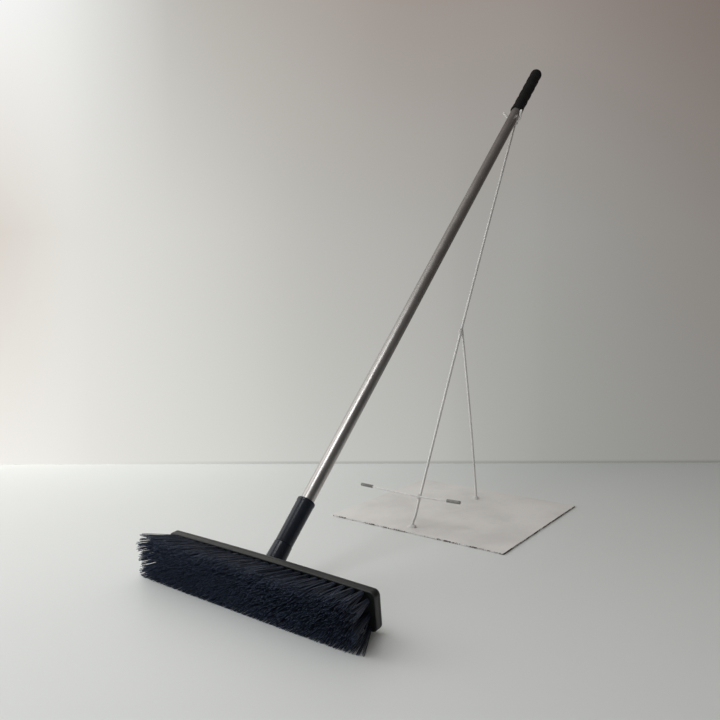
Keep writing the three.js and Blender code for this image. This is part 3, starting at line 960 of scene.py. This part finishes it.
class BROOM_OT_socket(bpy.types.Operator):
    """Makes the socket: flange, slanted neck with its ribs, and the threaded bore"""

    bl_idname = "broom.socket"
    bl_label = "Socket"

    def execute(self, context):
        points = within("head_socket", HEAD)
        back = points[:, 1].min()
        at_flange = points[points[:, 1] < back + 5 * MM]
        length_ = at_flange[:, 0].max() - at_flange[:, 0].min()
        width = -2 * at_flange[:, 2].min()
        top = span_on_handle("head_socket")[1]
        outline = lambda inset: rounded_rectangle(length_ - 2 * inset, width - 2 * inset,
                                                  10 * MM - inset, 0, 10, 4)
        edge = sizes().flange_edge
        layers = [(back, outline(0.3 * MM)), (back + 0.3 * MM, outline(0))]
        layers += [(back + FLANGE_THICK - edge * (1 - math.sin(a)),
                    outline(edge * (1 - math.cos(a)))) for a in quarter(4)]
        made = stacked("head_socket_body", layers, HEAD @ UPRIGHT)
        join_or_cut(made, [*neck_parts(back, top), *neck_ribs(back, width)], "UNION")
        stations = fine_stations(15 * MM, top + 1 * MM, THREAD_PITCH / 9)
        bore_radius = 10.5 * MM
        profile = [(0, stations[0]), *((bore_radius, s) for s in stations), (0, stations[-1])]
        groove = thread_swell(sizes().thread_bead + 0.2 * MM, 20 * MM, top + 5 * MM)
        bore = turned("bore", profile, HANDLE, 72, groove)
        join_or_cut(made, [bore, *screw_holes(back)], "DIFFERENCE")
        welded(made, 0.01 * MM)
        settle(made, "broom_head", ["head_socket"], moulded("socket plastic"), 32)
        return {"FINISHED"}


def neck_parts(back, top):
    """The slanted neck and the collar at its foot, cut off at the flange's back."""
    base, mouth = 15.4 * MM, 14.3 * MM
    collar_radius, collar_top = base + 1.3 * MM, 12 * MM
    buried = -30 * MM
    neck = [(0, buried), (base, buried), (base, 10 * MM), (mouth, top, 0.8 * MM), (0, top)]
    collar = [(0, buried), (collar_radius, buried), (collar_radius, 9 * MM, 1 * MM),
              (base - 1 * MM, collar_top), (0, collar_top)]
    size, behind = 200 * MM, back + 0.1 * MM
    made = []
    for name, line in (("neck", neck), ("collar", collar)):
        part = turned(name, rounded_line(line), HANDLE)
        trim = box_between("trim", (-size, behind, -size), (size, behind - size, size), HEAD)
        join_or_cut(part, [trim], "DIFFERENCE")
        made.append(part)
    return made


def neck_ribs(back, width):
    """Thin upright ribs from the flange's lower edge to the neck's underside."""
    slope = HEAD.inverted() @ (HANDLE.translation + HANDLE.to_3x3() @ Vector((0, 0, 1)))
    inside, foot, half = back + 0.1 * MM, 4 * MM - width / 2, 1.6 * MM
    faces = [(0, 1, 2, 3), (7, 6, 5, 4)] + [(i, 4 + i, 4 + (i + 1) % 4, (i + 1) % 4)
                                            for i in range(4)]
    ribs = []
    for x, reach in ((0.0, 34 * MM), (-10.5 * MM, 27 * MM), (10.5 * MM, 27 * MM)):
        top = slope.normalized() * reach
        side = [(inside, 0), (top.y, top.z), (back + FLANGE_THICK, foot), (inside, foot)]
        vertices = [(x + s * half, y, z) for s in (-1, 1) for y, z in side]
        ribs.append(placed(object_from("rib", vertices, faces), HEAD))
    return ribs


def screw_places():
    return [middle(f"socket_screw_{i}") for i in range(1, 5)]


def screw_holes(back):
    """Countersunk holes through the flange, under the screws."""
    face = FLANGE_THICK + back
    narrow, wide, below = 2.3 * MM, 3.3 * MM, -2 * MM
    profile = [(0, below), (narrow, below), (narrow, face - 1 * MM), (wide, face + 1 * MM),
               (0, face + 1 * MM)]
    holes = []
    for place in screw_places():
        local = HEAD.inverted() @ place
        through = HEAD @ Matrix.Translation((local.x, 0, local.z)) @ OUT_OF_FLANGE
        holes.append(turned("hole", profile, through, 24))
    return holes


def one_screw():
    """A cross-recessed screw about +Z, its head's underside at the origin."""
    shank, head = 1.9 * MM, 4.2 * MM
    profile = rounded_line([(0, -12 * MM), (0.6 * MM, -12 * MM), (shank, -10 * MM), (shank, 0),
                            (head, 0.1 * MM, 0.2 * MM), (head, 0.9 * MM, 0.4 * MM),
                            (2.6 * MM, 2.3 * MM, 0.8 * MM), (0, SCREW_HEAD)], 3)
    made = turned("screw", profile, Matrix.Identity(4), 32)
    for x, y in ((2 * MM, 0.5 * MM), (0.5 * MM, 2 * MM)):
        slot = box_between("slot", (-x, -y, 1.2 * MM), (x, y, 3.6 * MM), Matrix.Identity(4))
        join_or_cut(made, [slot], "DIFFERENCE")
    shade(made, 40)
    return made


def screw_tree(screw, material):
    """Geometry Nodes: a screw on each of four places, each turned its own way."""
    group, tree, start, end = node_group("Flange Screws", "GeometryNodeTree",
                                         {"Width": 0.0, "Height": 0.0, "Seed": 0},
                                         {"Geometry": "Geometry"})
    grid = tree.get(0, "GeometryNodeMeshGrid",
                    {"Size X": start["Width"], "Size Y": start["Height"], "Vertices X": 2,
                     "Vertices Y": 2})
    angles = tree.xyz(0.0, 0.0, tree.chance(0.0, TAU, start["Seed"]))
    source = tree.get("Geometry", "GeometryNodeObjectInfo", {"Object": screw})
    copies = tree.get(0, "GeometryNodeInstanceOnPoints",
                      {"Points": grid, "Instance": source, "Rotation": angles})
    tree.finish(copies, material, end)
    return group


class BROOM_OT_screws(bpy.types.Operator):
    """Puts the four screws through the socket's flange"""

    bl_idname = "broom.screws"
    bl_label = "Screws"

    def execute(self, context):
        places = [HEAD.inverted() @ p for p in screw_places()]
        wide = max(p.x for p in places) - min(p.x for p in places)
        tall = max(p.z for p in places) - min(p.z for p in places)
        under = bounds_in("socket_screw_1", HEAD)[1][1] - SCREW_HEAD
        screw = one_screw()
        made = grow("socket_screws", screw_tree(screw, screw_steel()),
                    {"Width": wide, "Height": tall, "Seed": 3})
        bpy.data.objects.remove(screw)
        made.data.transform(HEAD @ (Matrix.Translation((0, under, 0)) @ OUT_OF_FLANGE))
        settle(made, "broom_head", [f"socket_screw_{i}" for i in range(1, 5)],
               screw_steel(), 40)
        return {"FINISHED"}


class BROOM_OT_sleeve(bpy.types.Operator):
    """Makes the sleeve at the handle's foot, with its threaded spigot"""

    bl_idname = "broom.sleeve"
    bl_label = "Sleeve"

    def execute(self, context):
        low, high, rim = span_on_handle("handle_ferrule")
        foot = span_on_handle("head_socket")[1] + 0.3 * MM
        bore = span_on_handle("handle_tube")[2] + TUBE_FIT
        spigot, foot_radius, neck = 10 * MM, rim - 1.2 * MM, rim - 0.45 * MM
        profile = rounded_line([(0, low), (spigot - 1.2 * MM, low, 0.5 * MM), (spigot, low + 1 * MM)])
        profile += [(spigot, s) for s in fine_stations(low + 1.5 * MM, foot - 0.5 * MM,
                                                       THREAD_PITCH / 12)]
        profile += rounded_line([
            (spigot, foot), (foot_radius - 0.6 * MM, foot), (foot_radius, foot + 0.6 * MM, 0.5 * MM),
            (foot_radius + 0.15 * MM, foot + 5 * MM), (neck, high - 5.6 * MM, 0.5 * MM),
            (neck, high - 5 * MM, 0.2 * MM), (rim, high - 4.6 * MM, 0.3 * MM),
            (rim, high, 1.2 * MM), (bore, high, 0.5 * MM), (bore, high - 2 * MM)])
        profile += [(bore, foot + 9 * MM), (0, foot + 9 * MM)]
        bead = thread_swell(sizes().thread_bead, low + 4 * MM, foot - 4.7 * MM)
        swell = lambda station, angle, radius: (
            bead(station, angle, radius) if abs(radius - spigot) < 1e-6 else 0.0)
        made = turned("handle_sleeve", profile, HANDLE, 96, swell)
        settle(made, "ferrule_and_grip", ["handle_ferrule"],
               moulded("socket plastic"), 32)
        return {"FINISHED"}


class BROOM_OT_tube(bpy.types.Operator):
    """Makes the drawn tube with eased ends"""

    bl_idname = "broom.tube"
    bl_label = "Tube"

    def execute(self, context):
        low, high, radius = span_on_handle("handle_tube")
        inner = radius - sizes().tube_wall
        ease = 0.3 * MM
        outer = fine_stations(low + ease, high - ease, 60 * MM)
        profile = [(inner, low + ease), (inner + ease, low), (radius - ease, low)]
        profile += [(radius, s) for s in outer]
        profile += [(radius - ease, high), (inner + ease, high), (inner, high - ease),
                    (inner, low + ease)]
        made = turned("handle_tube_body", profile, HANDLE, 128)
        settle(made, "handle", ["handle_tube"], tube_aluminium(), 40)
        return {"FINISHED"}


# ---- Grip ----

class BROOM_OT_grip(bpy.types.Operator):
    """Makes the rubber grip: flared mouth, finger waves, fine ribs and a domed end"""

    bl_idname = "broom.grip"
    bl_label = "Grip"

    def execute(self, context):
        low, high, lip = span_on_handle("handle_grip")
        tube = span_on_handle("handle_tube")
        bore = tube[2] + TUBE_FIT
        body = lip - 0.7 * MM
        dome_base = high - body
        wave_start, waves, wave = low + 10 * MM, 5, 0.9 * MM
        profile = rounded_line([(bore, low + 4 * MM), (bore + 0.6 * MM, low + 0.5 * MM, 0.3 * MM),
                                (lip - 0.4 * MM, low, 0.3 * MM), (lip, low + 1 * MM, 0.5 * MM),
                                (lip, low + 3 * MM, 1 * MM), (body - 0.2 * MM, low + 7 * MM)])
        for station in fine_stations(wave_start, dome_base - 1 * MM, 1.2 * MM):
            share = (station - wave_start) / (dome_base - wave_start)
            scallop = wave * (0.5 - 0.5 * math.cos(TAU * waves * share)) ** 1.5
            profile.append((body - scallop, station))
        profile += [(body * math.cos(a), dome_base + body * math.sin(a)) for a in quarter(12)[1:-1]]
        tube_end = tube[1] + 0.3 * MM
        profile += [(0, high), (0, tube_end), (bore, tube_end), (bore, low + 4 * MM)]

        def ribs(station, angle, radius):
            """Fine lengthwise ribs in the waved part, which die away at both ends."""
            if radius < bore + 0.5 * MM or not wave_start < station < dome_base:
                return 0.0
            fade = min(1.0, (station - wave_start) / (8 * MM), (dome_base - station) / (8 * MM))
            return 0.16 * MM * fade * math.cos(20 * angle)

        made = turned("handle_grip_body", profile, HANDLE, 160, ribs)
        settle(made, "ferrule_and_grip", ["handle_grip"], moulded("grip rubber"), 50)
        return {"FINISHED"}


# ---- Stand ----

# The chance that paint has chipped away from the worn edges.
CHIPPED_ROD, CHIPPED_WELD, CHIPPED_PLATE = 0.05, 0.12, 0.27


def mark_edge(made, worn):
    """Stores how worn each vertex is, from 0 to 1, for the paint to chip by."""
    attribute = made.data.attributes.new("edge", "FLOAT", "POINT")
    attribute.data.foreach_set("value", [worn(v.co) for v in made.data.vertices])


def on_mast(share):
    """A point of the mast's middle line; share 0 is its foot and 1 its head."""
    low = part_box("mast_rod")[0]
    bow = 3 * MM
    foot = Vector((middle("weld_mast_foot").x, low.y + sizes().mast_radius, low.z))
    point = foot.lerp(mast_head(), share)
    point.x -= 4 * bow * share * (1 - share)
    return point


def cradle_shape():
    """Station of the cradle up the handle, its seat below the axis, its width and tip height."""
    points = within("cradle_rod", HANDLE)
    radius = sizes().cradle_radius
    return {"station": (points[:, 2].min() + points[:, 2].max()) / 2,
            "seat": points[:, 1].max() - radius, "half": points[:, 0].max() - radius,
            "height": -points[:, 1].min()}


def mast_head():
    cradle = cradle_shape()
    return up_handle(cradle["station"], -cradle["seat"])


def painted_rod(name, node, path, radius, sides=20):
    """A rod with the small lumps of thick paint over wire."""
    made = swept(name, path, radius, sides, lambda point: 0.12 * MM * noise.noise(point * 60))
    mark_edge(made, lambda co: 0.0)
    settle(made, "stand", [node], stand_paint(CHIPPED_ROD), 60)


def densified(points, step, length_, width):
    """An outline with a fixed count of points on each side, so that rings match."""
    made = []
    for a, b in zip(points, points[1:] + points[:1]):
        run, rise = abs(b[0] - a[0]), abs(b[1] - a[1])
        count = 1
        if max(run, rise) > 10 * MM:
            count = round((length_ / 2 if run > rise else width) / step)
        made += [(a[0] + (b[0] - a[0]) * i / count, a[1] + (b[1] - a[1]) * i / count)
                 for i in range(count)]
    return made


class BROOM_OT_plate(bpy.types.Operator):
    """Makes the stand's flat base plate, with its worn and chipped edges"""

    bl_idname = "broom.plate"
    bl_label = "Base Plate"

    def execute(self, context):
        low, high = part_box("stand_plate")
        centre = (low + high) / 2
        length_, width = high.x - low.x, high.y - low.y
        thick = high.z - low.z
        corner, ease, reach = 3 * MM, 0.45 * MM, 3 * MM

        def ring(inset, height):
            points = rounded_rectangle(length_ - 2 * inset, width - 2 * inset,
                                       max(corner - inset, 0.4 * MM), 0, 5, 2)
            return [(x, y, height) for x, y in densified(points, 2.5 * MM, length_, width)]

        def insets(co):
            """How far a point lies in from the nearest end and from the nearest side."""
            return length_ / 2 - abs(co.x - centre.x), width / 2 - abs(co.y - centre.y)

        def worn(co):
            """Little on the top rim, more on the sides, most on the +X side."""
            if co.z > high.z - 0.2 * MM:
                return 0.45 * max(0.0, 1 - min(insets(co)) / (1.3 * MM))
            return 0.68 if high.x - co.x < 1.5 * MM else 0.52

        rings = [ring(ease, 0.0), ring(0.0, ease), ring(0.0, thick / 2), ring(0.0, thick - ease),
                 ring(0.15 * MM, thick - 0.12 * MM)]
        rings += [ring(inset, thick) for inset in (ease, 1.4 * MM, 3.5 * MM, 8 * MM, 20 * MM)]
        made = lofted("stand_plate_body", rings,
                      Matrix.Translation((centre.x, centre.y, low.z)), capped=True)
        chips = random.Random(5)
        shift = Vector([chips.uniform(0, 50) for _ in range(3)])
        for vertex in made.data.vertices:
            end, side = insets(vertex.co)
            inset = min(end, side)
            if inset > reach:
                continue
            where = vertex.co + shift
            notch = max(0.0, noise.noise(where * 120) - 0.12)
            ragged = 0.7 * MM * notch + 0.12 * MM * noise.noise(where * 400)
            pull = Vector((math.copysign(1, centre.x - vertex.co.x), 0, 0))
            if side < end:
                pull = Vector((0, math.copysign(1, centre.y - vertex.co.y), 0))
            vertex.co += pull * max(0.0, ragged) * (1 - inset / reach)
        mark_edge(made, worn)
        settle(made, "stand", ["stand_plate"], stand_paint(CHIPPED_PLATE), 50)
        return {"FINISHED"}


class BROOM_OT_rods(bpy.types.Operator):
    """Bends the mast, the brace, the crossbar and the cradle"""

    bl_idname = "broom.rods"
    bl_label = "Rods"

    def execute(self, context):
        plate_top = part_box("stand_plate")[1].z
        foot = on_mast(0)
        foot.z = plate_top + sizes().mast_radius
        mast = [foot, foot + Vector((0, 1 * MM, 6 * MM))]
        mast += [on_mast(s) for s in (0.02, 0.06, 0.25, 0.44, 0.7, 0.992)]
        painted_rod("mast_wire", "mast_rod", smooth_path(mast, 260), sizes().mast_radius)

        brace_foot = Vector(middle("weld_brace_foot"))
        brace_foot.z = plate_top + sizes().brace_radius
        brace_top = on_mast(0.44)
        brace = [brace_foot, brace_foot + Vector((0, 0, 5 * MM)),
                 brace_foot.lerp(brace_top, 0.5) + Vector((1 * MM, 2 * MM, 0)), brace_top]
        painted_rod("brace_wire", "brace_rod", smooth_path(brace, 130), sizes().brace_radius)

        left, right = crossbar_ends()
        painted_rod("crossbar_wire", "crossbar_rod",
                    smooth_path([left, crossbar_middle(), right], 90), sizes().crossbar_radius, 16)
        painted_rod("cradle_wire", "cradle_rod", cradle_path(), sizes().cradle_radius)
        return {"FINISHED"}


def crossbar_ends():
    low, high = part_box("crossbar_rod")
    y = (low.y + high.y) / 2
    z = high.z - sizes().crossbar_radius
    return Vector((low.x, y, z)), Vector((high.x, y, z))


def crossbar_middle():
    low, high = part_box("crossbar_rod")
    return Vector((on_mast(0.06).x, (low.y + high.y) / 2, low.z + sizes().crossbar_radius))


def cradle_path():
    """The yoke's middle line: down one arm, round under the tube and up the other."""
    cradle = cradle_shape()
    seat, station = cradle["seat"], cradle["station"]
    half = [(cradle["half"], cradle["height"]), (seat + 2 * MM, 2 * MM)]
    half += [(seat * math.cos(a), -seat * math.sin(a)) for a in map(math.radians, (28, 60))]
    arm = lambda side: [up_handle(station, above, side * x) for x, above in half]
    points = [*arm(-1), up_handle(station, -seat), *reversed(arm(1))]
    return smooth_path(points, 90)


class BROOM_OT_tips(bpy.types.Operator):
    """Pushes a cap over each end of the crossbar"""

    bl_idname = "broom.tips"
    bl_label = "Crossbar Caps"

    def execute(self, context):
        bore = sizes().crossbar_radius + 0.1 * MM
        outer, past_rod = 3.1 * MM, 1.7 * MM
        waist = outer - 0.35 * MM
        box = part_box("crossbar_tip_right")
        length_ = box[1].x - box[0].x + 0.9 * MM
        profile = rounded_line([(0, -past_rod), (outer, -past_rod, 1.2 * MM),
                                (outer, 6 * MM, 0.3 * MM), (waist, 6.4 * MM, 0.2 * MM),
                                (waist, 7.4 * MM, 0.2 * MM), (outer, 7.8 * MM, 0.3 * MM),
                                (outer, length_ - past_rod, 0.7 * MM),
                                (bore, length_ - past_rod, 0.4 * MM),
                                (bore, length_ - 4 * MM), (bore, 0), (0, 0)])
        for rod_end, side in zip(crossbar_ends(), ("left", "right")):
            low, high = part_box(f"crossbar_tip_{side}")
            outward = (rod_end - crossbar_middle()).normalized()
            reach = (high.x - low.x - 2 * outer * abs(outward.z)) / abs(outward.x)
            place = (-outward).to_track_quat("Z", "Y").to_matrix().to_4x4()
            place.translation = (low + high) / 2 + outward * (reach / 2 - past_rod)
            made = turned(f"crossbar_cap_{side}", profile, place, 40)
            settle(made, "stand", [f"crossbar_tip_{side}"], moulded("tip plastic"),
                   35)
        return {"FINISHED"}


class BROOM_OT_welds(bpy.types.Operator):
    """Drops the lumpy welds where the rods meet"""

    bl_idname = "broom.welds"
    bl_label = "Welds"

    def execute(self, context):
        plate_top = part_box("stand_plate")[1].z
        for node in ("weld_mast_foot", "weld_brace_foot", "weld_brace_top", "weld_crossbar",
                     "weld_cradle"):
            low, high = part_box(node)
            centre, half = (low + high) / 2, (high - low) / 2
            on_plate = low.z < plate_top + 2 * MM
            if on_plate:
                centre.z, half.z = plate_top, high.z - plate_top
            made = weld_lump(node + "_bead", centre, half, on_plate)
            mark_edge(made, lambda co: 0.12)
            settle(made, "stand", [node], stand_paint(CHIPPED_WELD, 0.92), 70)
        return {"FINISHED"}


def weld_lump(name, centre, half, on_plate):
    """A lump with smaller runs in it; one that sits on the plate spreads into a skirt.
    The letters of its name make its runs differ from the others'."""
    shape = bmesh.new()
    bmesh.ops.create_icosphere(shape, subdivisions=5, radius=1)
    seed = Vector([(ord(c) % 13) for c in name[5:8]])
    sunk = -0.2 * MM
    for vertex in shape.verts:
        way = vertex.co.normalized()
        rough = 0.16 * noise.noise(way * 1.7 + seed) + 0.09 * noise.noise(way * 4.5 + seed)
        size = 0.94 + rough
        if on_plate:
            skirt = max(0.0, 1 - abs(way.z) / 0.45) ** 2
            size += 0.3 * skirt * (0.6 + noise.noise(way * 2.3 + seed))
        vertex.co = Vector((way.x * half.x, way.y * half.y, way.z * half.z)) * size
        if on_plate and vertex.co.z < sunk:
            vertex.co.z = sunk
        vertex.co += centre
    bmesh.ops.dissolve_degenerate(shape, edges=shape.edges, dist=1e-7)
    return object_of(name, shape)


# ---- Stage ----

CAMERA_PLACE = Vector((0.694958, -1.149954, 0.423573))
CAMERA_DEGREES = {"azimuth": 36.55, "pitch": 4.802, "roll": 0.158}
CAMERA_LENS = 35.1886
WALL_DISTANCE = 1.81


class BROOM_OT_stage(bpy.types.Operator):
    """Sets the pale floor and wall, the soft light and the camera"""

    bl_idname = "broom.stage"
    bl_label = "Stage"

    def execute(self, context):
        camera = make_camera()
        make_floor()
        make_wall(camera)
        make_lights()
        context.scene.view_settings.view_transform = "Standard"
        return {"FINISHED"}


def camera_axes():
    """The camera's right, up and back directions."""
    azimuth, pitch, roll = (math.radians(a) for a in CAMERA_DEGREES.values())
    back = Vector((math.sin(azimuth) * math.cos(pitch), -math.cos(azimuth) * math.cos(pitch),
                   math.sin(pitch)))
    right = (-back).cross(Vector((0, 0, 1))).normalized()
    down = (-back).cross(right)
    right, down = (right * math.cos(roll) + down * math.sin(roll),
                   down * math.cos(roll) - right * math.sin(roll))
    return right, -down, back


def make_camera():
    data = bpy.data.cameras.new("camera")
    data.sensor_width = 36.0
    data.lens = CAMERA_LENS
    camera = bpy.data.objects.new("camera", data)
    bpy.context.scene.collection.objects.link(camera)
    camera.matrix_world = basis(*camera_axes(), CAMERA_PLACE)
    bpy.context.scene.camera = camera
    return camera


def level_ways():
    """Level directions ahead of the camera and to its right."""
    back = camera_axes()[2]
    ahead = Vector((-back.x, -back.y, 0)).normalized()
    return ahead, ahead.cross(Vector((0, 0, 1)))


def make_floor():
    half = 7.0
    made = object_from("floor", [(-half, -half, 0), (half, -half, 0), (half, half, 0),
                                 (-half, half, 0)], [(0, 1, 2, 3)])
    material, tree, shader, where = blank_material("floor")
    cloud = tree.noise(where, 3.0, 3)
    tree.feed(shader.inputs["Base Color"],
              tree.mix(cloud, (0.725, 0.75, 0.745, 1), (0.75, 0.775, 0.77, 1)))
    shader.inputs["Roughness"].default_value = 0.42
    made.data.materials.append(material)
    made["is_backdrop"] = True


def make_wall(camera):
    """A wall behind the object that can't be seen from its back. Its glow is painted light, brightest
    near the window on the left and falling off to the right, with painted shade along its foot.
    """
    ahead, right = level_ways()
    place = camera.matrix_world.translation
    half, height = 6.0, 4.0
    foot = Vector((place.x, place.y, 0)) + ahead * WALL_DISTANCE
    corners = [foot - right * half, foot + right * half]
    corners += [c + Vector((0, 0, height)) for c in reversed(corners)]
    made = object_from("wall", corners, [(0, 1, 2, 3)])
    if made.data.polygons[0].normal.dot(ahead) > 0:
        made.data.flip_normals()
    material, tree, shader, where = blank_material("wall")
    tree.tree.nodes.remove(shader)
    from_foot = tree.vector("SUBTRACT", where, foot)
    along = tree.vector("DOT_PRODUCT", from_foot, right, "Value")
    up = tree.parts(from_foot)[2]
    across = tree.range(along, -0.95, 0.95, kind="LINEAR")
    # The wall's colour is painted light: each ramp runs from the bright window side on the left to
    # the darker right, at the floor, at mid height and at the top.
    low = painted_light_ramp(tree, across, ((0.0, (0.90, 0.88, 0.84)), (0.13, (0.79, 0.78, 0.74)),
                                   (0.38, (0.61, 0.615, 0.58)), (0.62, (0.46, 0.46, 0.44)),
                                   (0.75, (0.352, 0.356, 0.335)), (1.0, (0.27, 0.265, 0.252))))
    mid = painted_light_ramp(tree, across, ((0.0, (0.70, 0.65, 0.60)), (0.13, (0.74, 0.73, 0.69)),
                                   (0.38, (0.54, 0.532, 0.503)), (0.62, (0.40, 0.392, 0.37)),
                                   (0.75, (0.337, 0.332, 0.314)), (1.0, (0.250, 0.230, 0.215))))
    high = painted_light_ramp(tree, across, ((0.0, (0.95, 0.95, 0.94)), (0.13, (0.79, 0.79, 0.77)),
                                    (0.25, (0.53, 0.515, 0.485)), (0.5, (0.376, 0.337, 0.309)),
                                    (0.75, (0.30, 0.262, 0.242)), (1.0, (0.205, 0.168, 0.150))))
    mid_height, top_height = 0.60, 1.17
    lower = tree.mix(tree.range(up, 0.0, mid_height, kind="LINEAR"), low, mid)
    shown = tree.mix(tree.range(up, mid_height, top_height, kind="LINEAR"), lower, high)

    # Painted light: the glow is brighter at its far left, dimmer in mirrors, stronger for the light
    # that it scatters.
    mirrored = tree.get("Is Glossy Ray", "ShaderNodeLightPath")
    scattered = tree.get("Is Diffuse Ray", "ShaderNodeLightPath")
    strength = tree.range(along, -1.0, -1.8, 0.0, 1.0) + 1.0
    strength = strength - mirrored * tree.range(along, -0.5, 0.7, 0.0, 0.7)
    strength = strength + scattered * tree.range(along, -1.2, 1.0, 1.5, 0.65)
    # Painted shade: a thin darker band where the wall meets the floor. It is absent at the far left
    # and fades in towards the middle and right.
    painted_foot_shade = tree.range(up, 0.003, 0.009, 0.22, 0.0) * tree.range(along, -0.7, -0.1)
    glow = tree.get(0, "ShaderNodeEmission", {"Color": shown, "Strength": strength * (1.0 - painted_foot_shade)})
    clear = tree.get(0, "ShaderNodeBsdfTransparent")
    behind = tree.get("Backfacing", "ShaderNodeNewGeometry")
    both = tree.get(0, "ShaderNodeMixShader", {0: behind, 1: glow, 2: clear})
    tree.feed(tree.tree.nodes["Material Output"].inputs["Surface"], both)
    made.data.materials.append(material)
    made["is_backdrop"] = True


def painted_light_ramp(tree, share, stops):
    """A smooth run of painted light across the wall; each stop is a (position, colour) pair."""
    node = tree.add("ShaderNodeValToRGB", {"Fac": share})
    ramp = node.color_ramp
    ramp.interpolation = "CARDINAL"
    while len(ramp.elements) < len(stops):
        ramp.elements.new(0.5)
    for element, (position, value) in zip(ramp.elements, stops):
        element.position = position
        element.color = rgba(value)
    return node.outputs["Color"]


def area_light(name, place, target, power, wide, tall, tint, mirrored=True):
    data = bpy.data.lights.new(name, "AREA")
    data.shape = "RECTANGLE"
    data.size, data.size_y = wide, tall
    data.energy = power
    data.color = tint
    made = bpy.data.objects.new(name, data)
    made.matrix_world = Matrix.Translation(place)
    made.rotation_mode = "QUATERNION"
    made.rotation_quaternion = (target - place).to_track_quat("-Z", "Y")
    made.location = place
    bpy.context.scene.collection.objects.link(made)
    made.visible_glossy = mirrored


def make_lights():
    """A broad window on the left, a lamp overhead, and a room that is brighter on the left."""
    ahead, right = level_ways()
    low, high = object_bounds()
    centre = (low + high) / 2
    window = centre - right * 1.9 + ahead * 0.4 + Vector((0, 0, 0.75))
    area_light("window", window, centre, 14.5, 2.2, 2.4, (1.0, 0.995, 0.985), mirrored=False)
    area_light("overhead", Vector((-0.14, -0.88, 1.75)), Vector((-0.1, -0.45, 0.1)), 5.5, 0.6, 0.6,
               (0.98, 0.99, 1.0))
    world = bpy.data.worlds.new("room")
    bpy.context.scene.world = world
    world.use_nodes = True
    tree = Tree(world.node_tree)
    way = tree.get("Generated", "ShaderNodeTexCoord")
    lit = tree.range(tree.vector("DOT_PRODUCT", way, -right, "Value"), -0.6, 1.0)
    around = tree.mix(lit, (0.055, 0.055, 0.056, 1), (0.76, 0.755, 0.74, 1))
    above = tree.mix(lit, (0.10, 0.095, 0.09, 1), (0.36, 0.36, 0.355, 1))
    height = tree.range(tree.parts(way)[2], 0.2, 0.85)
    ground = world.node_tree.nodes["Background"]
    ground.inputs["Strength"].default_value = 1.0
    tree.feed(ground.inputs["Color"], tree.mix(height, around, above))


# ---- Add-on ----

STEPS = (BROOM_OT_block, BROOM_OT_bristles, BROOM_OT_socket, BROOM_OT_screws, BROOM_OT_sleeve,
         BROOM_OT_tube, BROOM_OT_grip, BROOM_OT_plate, BROOM_OT_rods, BROOM_OT_tips,
         BROOM_OT_welds, BROOM_OT_stage)


class BROOM_PT_panel(bpy.types.Panel):
    """Lists the steps that make the broom, its stand and the stage"""

    bl_idname = "BROOM_PT_panel"
    bl_label = "Push Broom"
    bl_space_type = "VIEW_3D"
    bl_region_type = "UI"
    bl_category = "Broom"

    def draw(self, context):
        column = self.layout.column(align=True)
        for step in STEPS:
            column.operator(step.bl_idname)
        for group in (context.scene.broom_sizes, context.scene.broom_colours):
            box = self.layout.box()
            for name in group.bl_rna.properties.keys():
                if name not in ("rna_type", "name"):
                    box.prop(group, name)


CLASSES = (BroomColours, BroomSizes, *STEPS, BROOM_PT_panel)


def register():
    for item in CLASSES:
        bpy.utils.register_class(item)
    bpy.types.Scene.broom_colours = PointerProperty(type=BroomColours)
    bpy.types.Scene.broom_sizes = PointerProperty(type=BroomSizes)


def unregister():
    del bpy.types.Scene.broom_sizes
    del bpy.types.Scene.broom_colours
    for item in reversed(CLASSES):
        bpy.utils.unregister_class(item)


def main():
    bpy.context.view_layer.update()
    register()
    for step in STEPS:
        group, name = step.bl_idname.split(".")
        getattr(getattr(bpy.ops, group), name)()


if __name__ == "__main__":
    main()
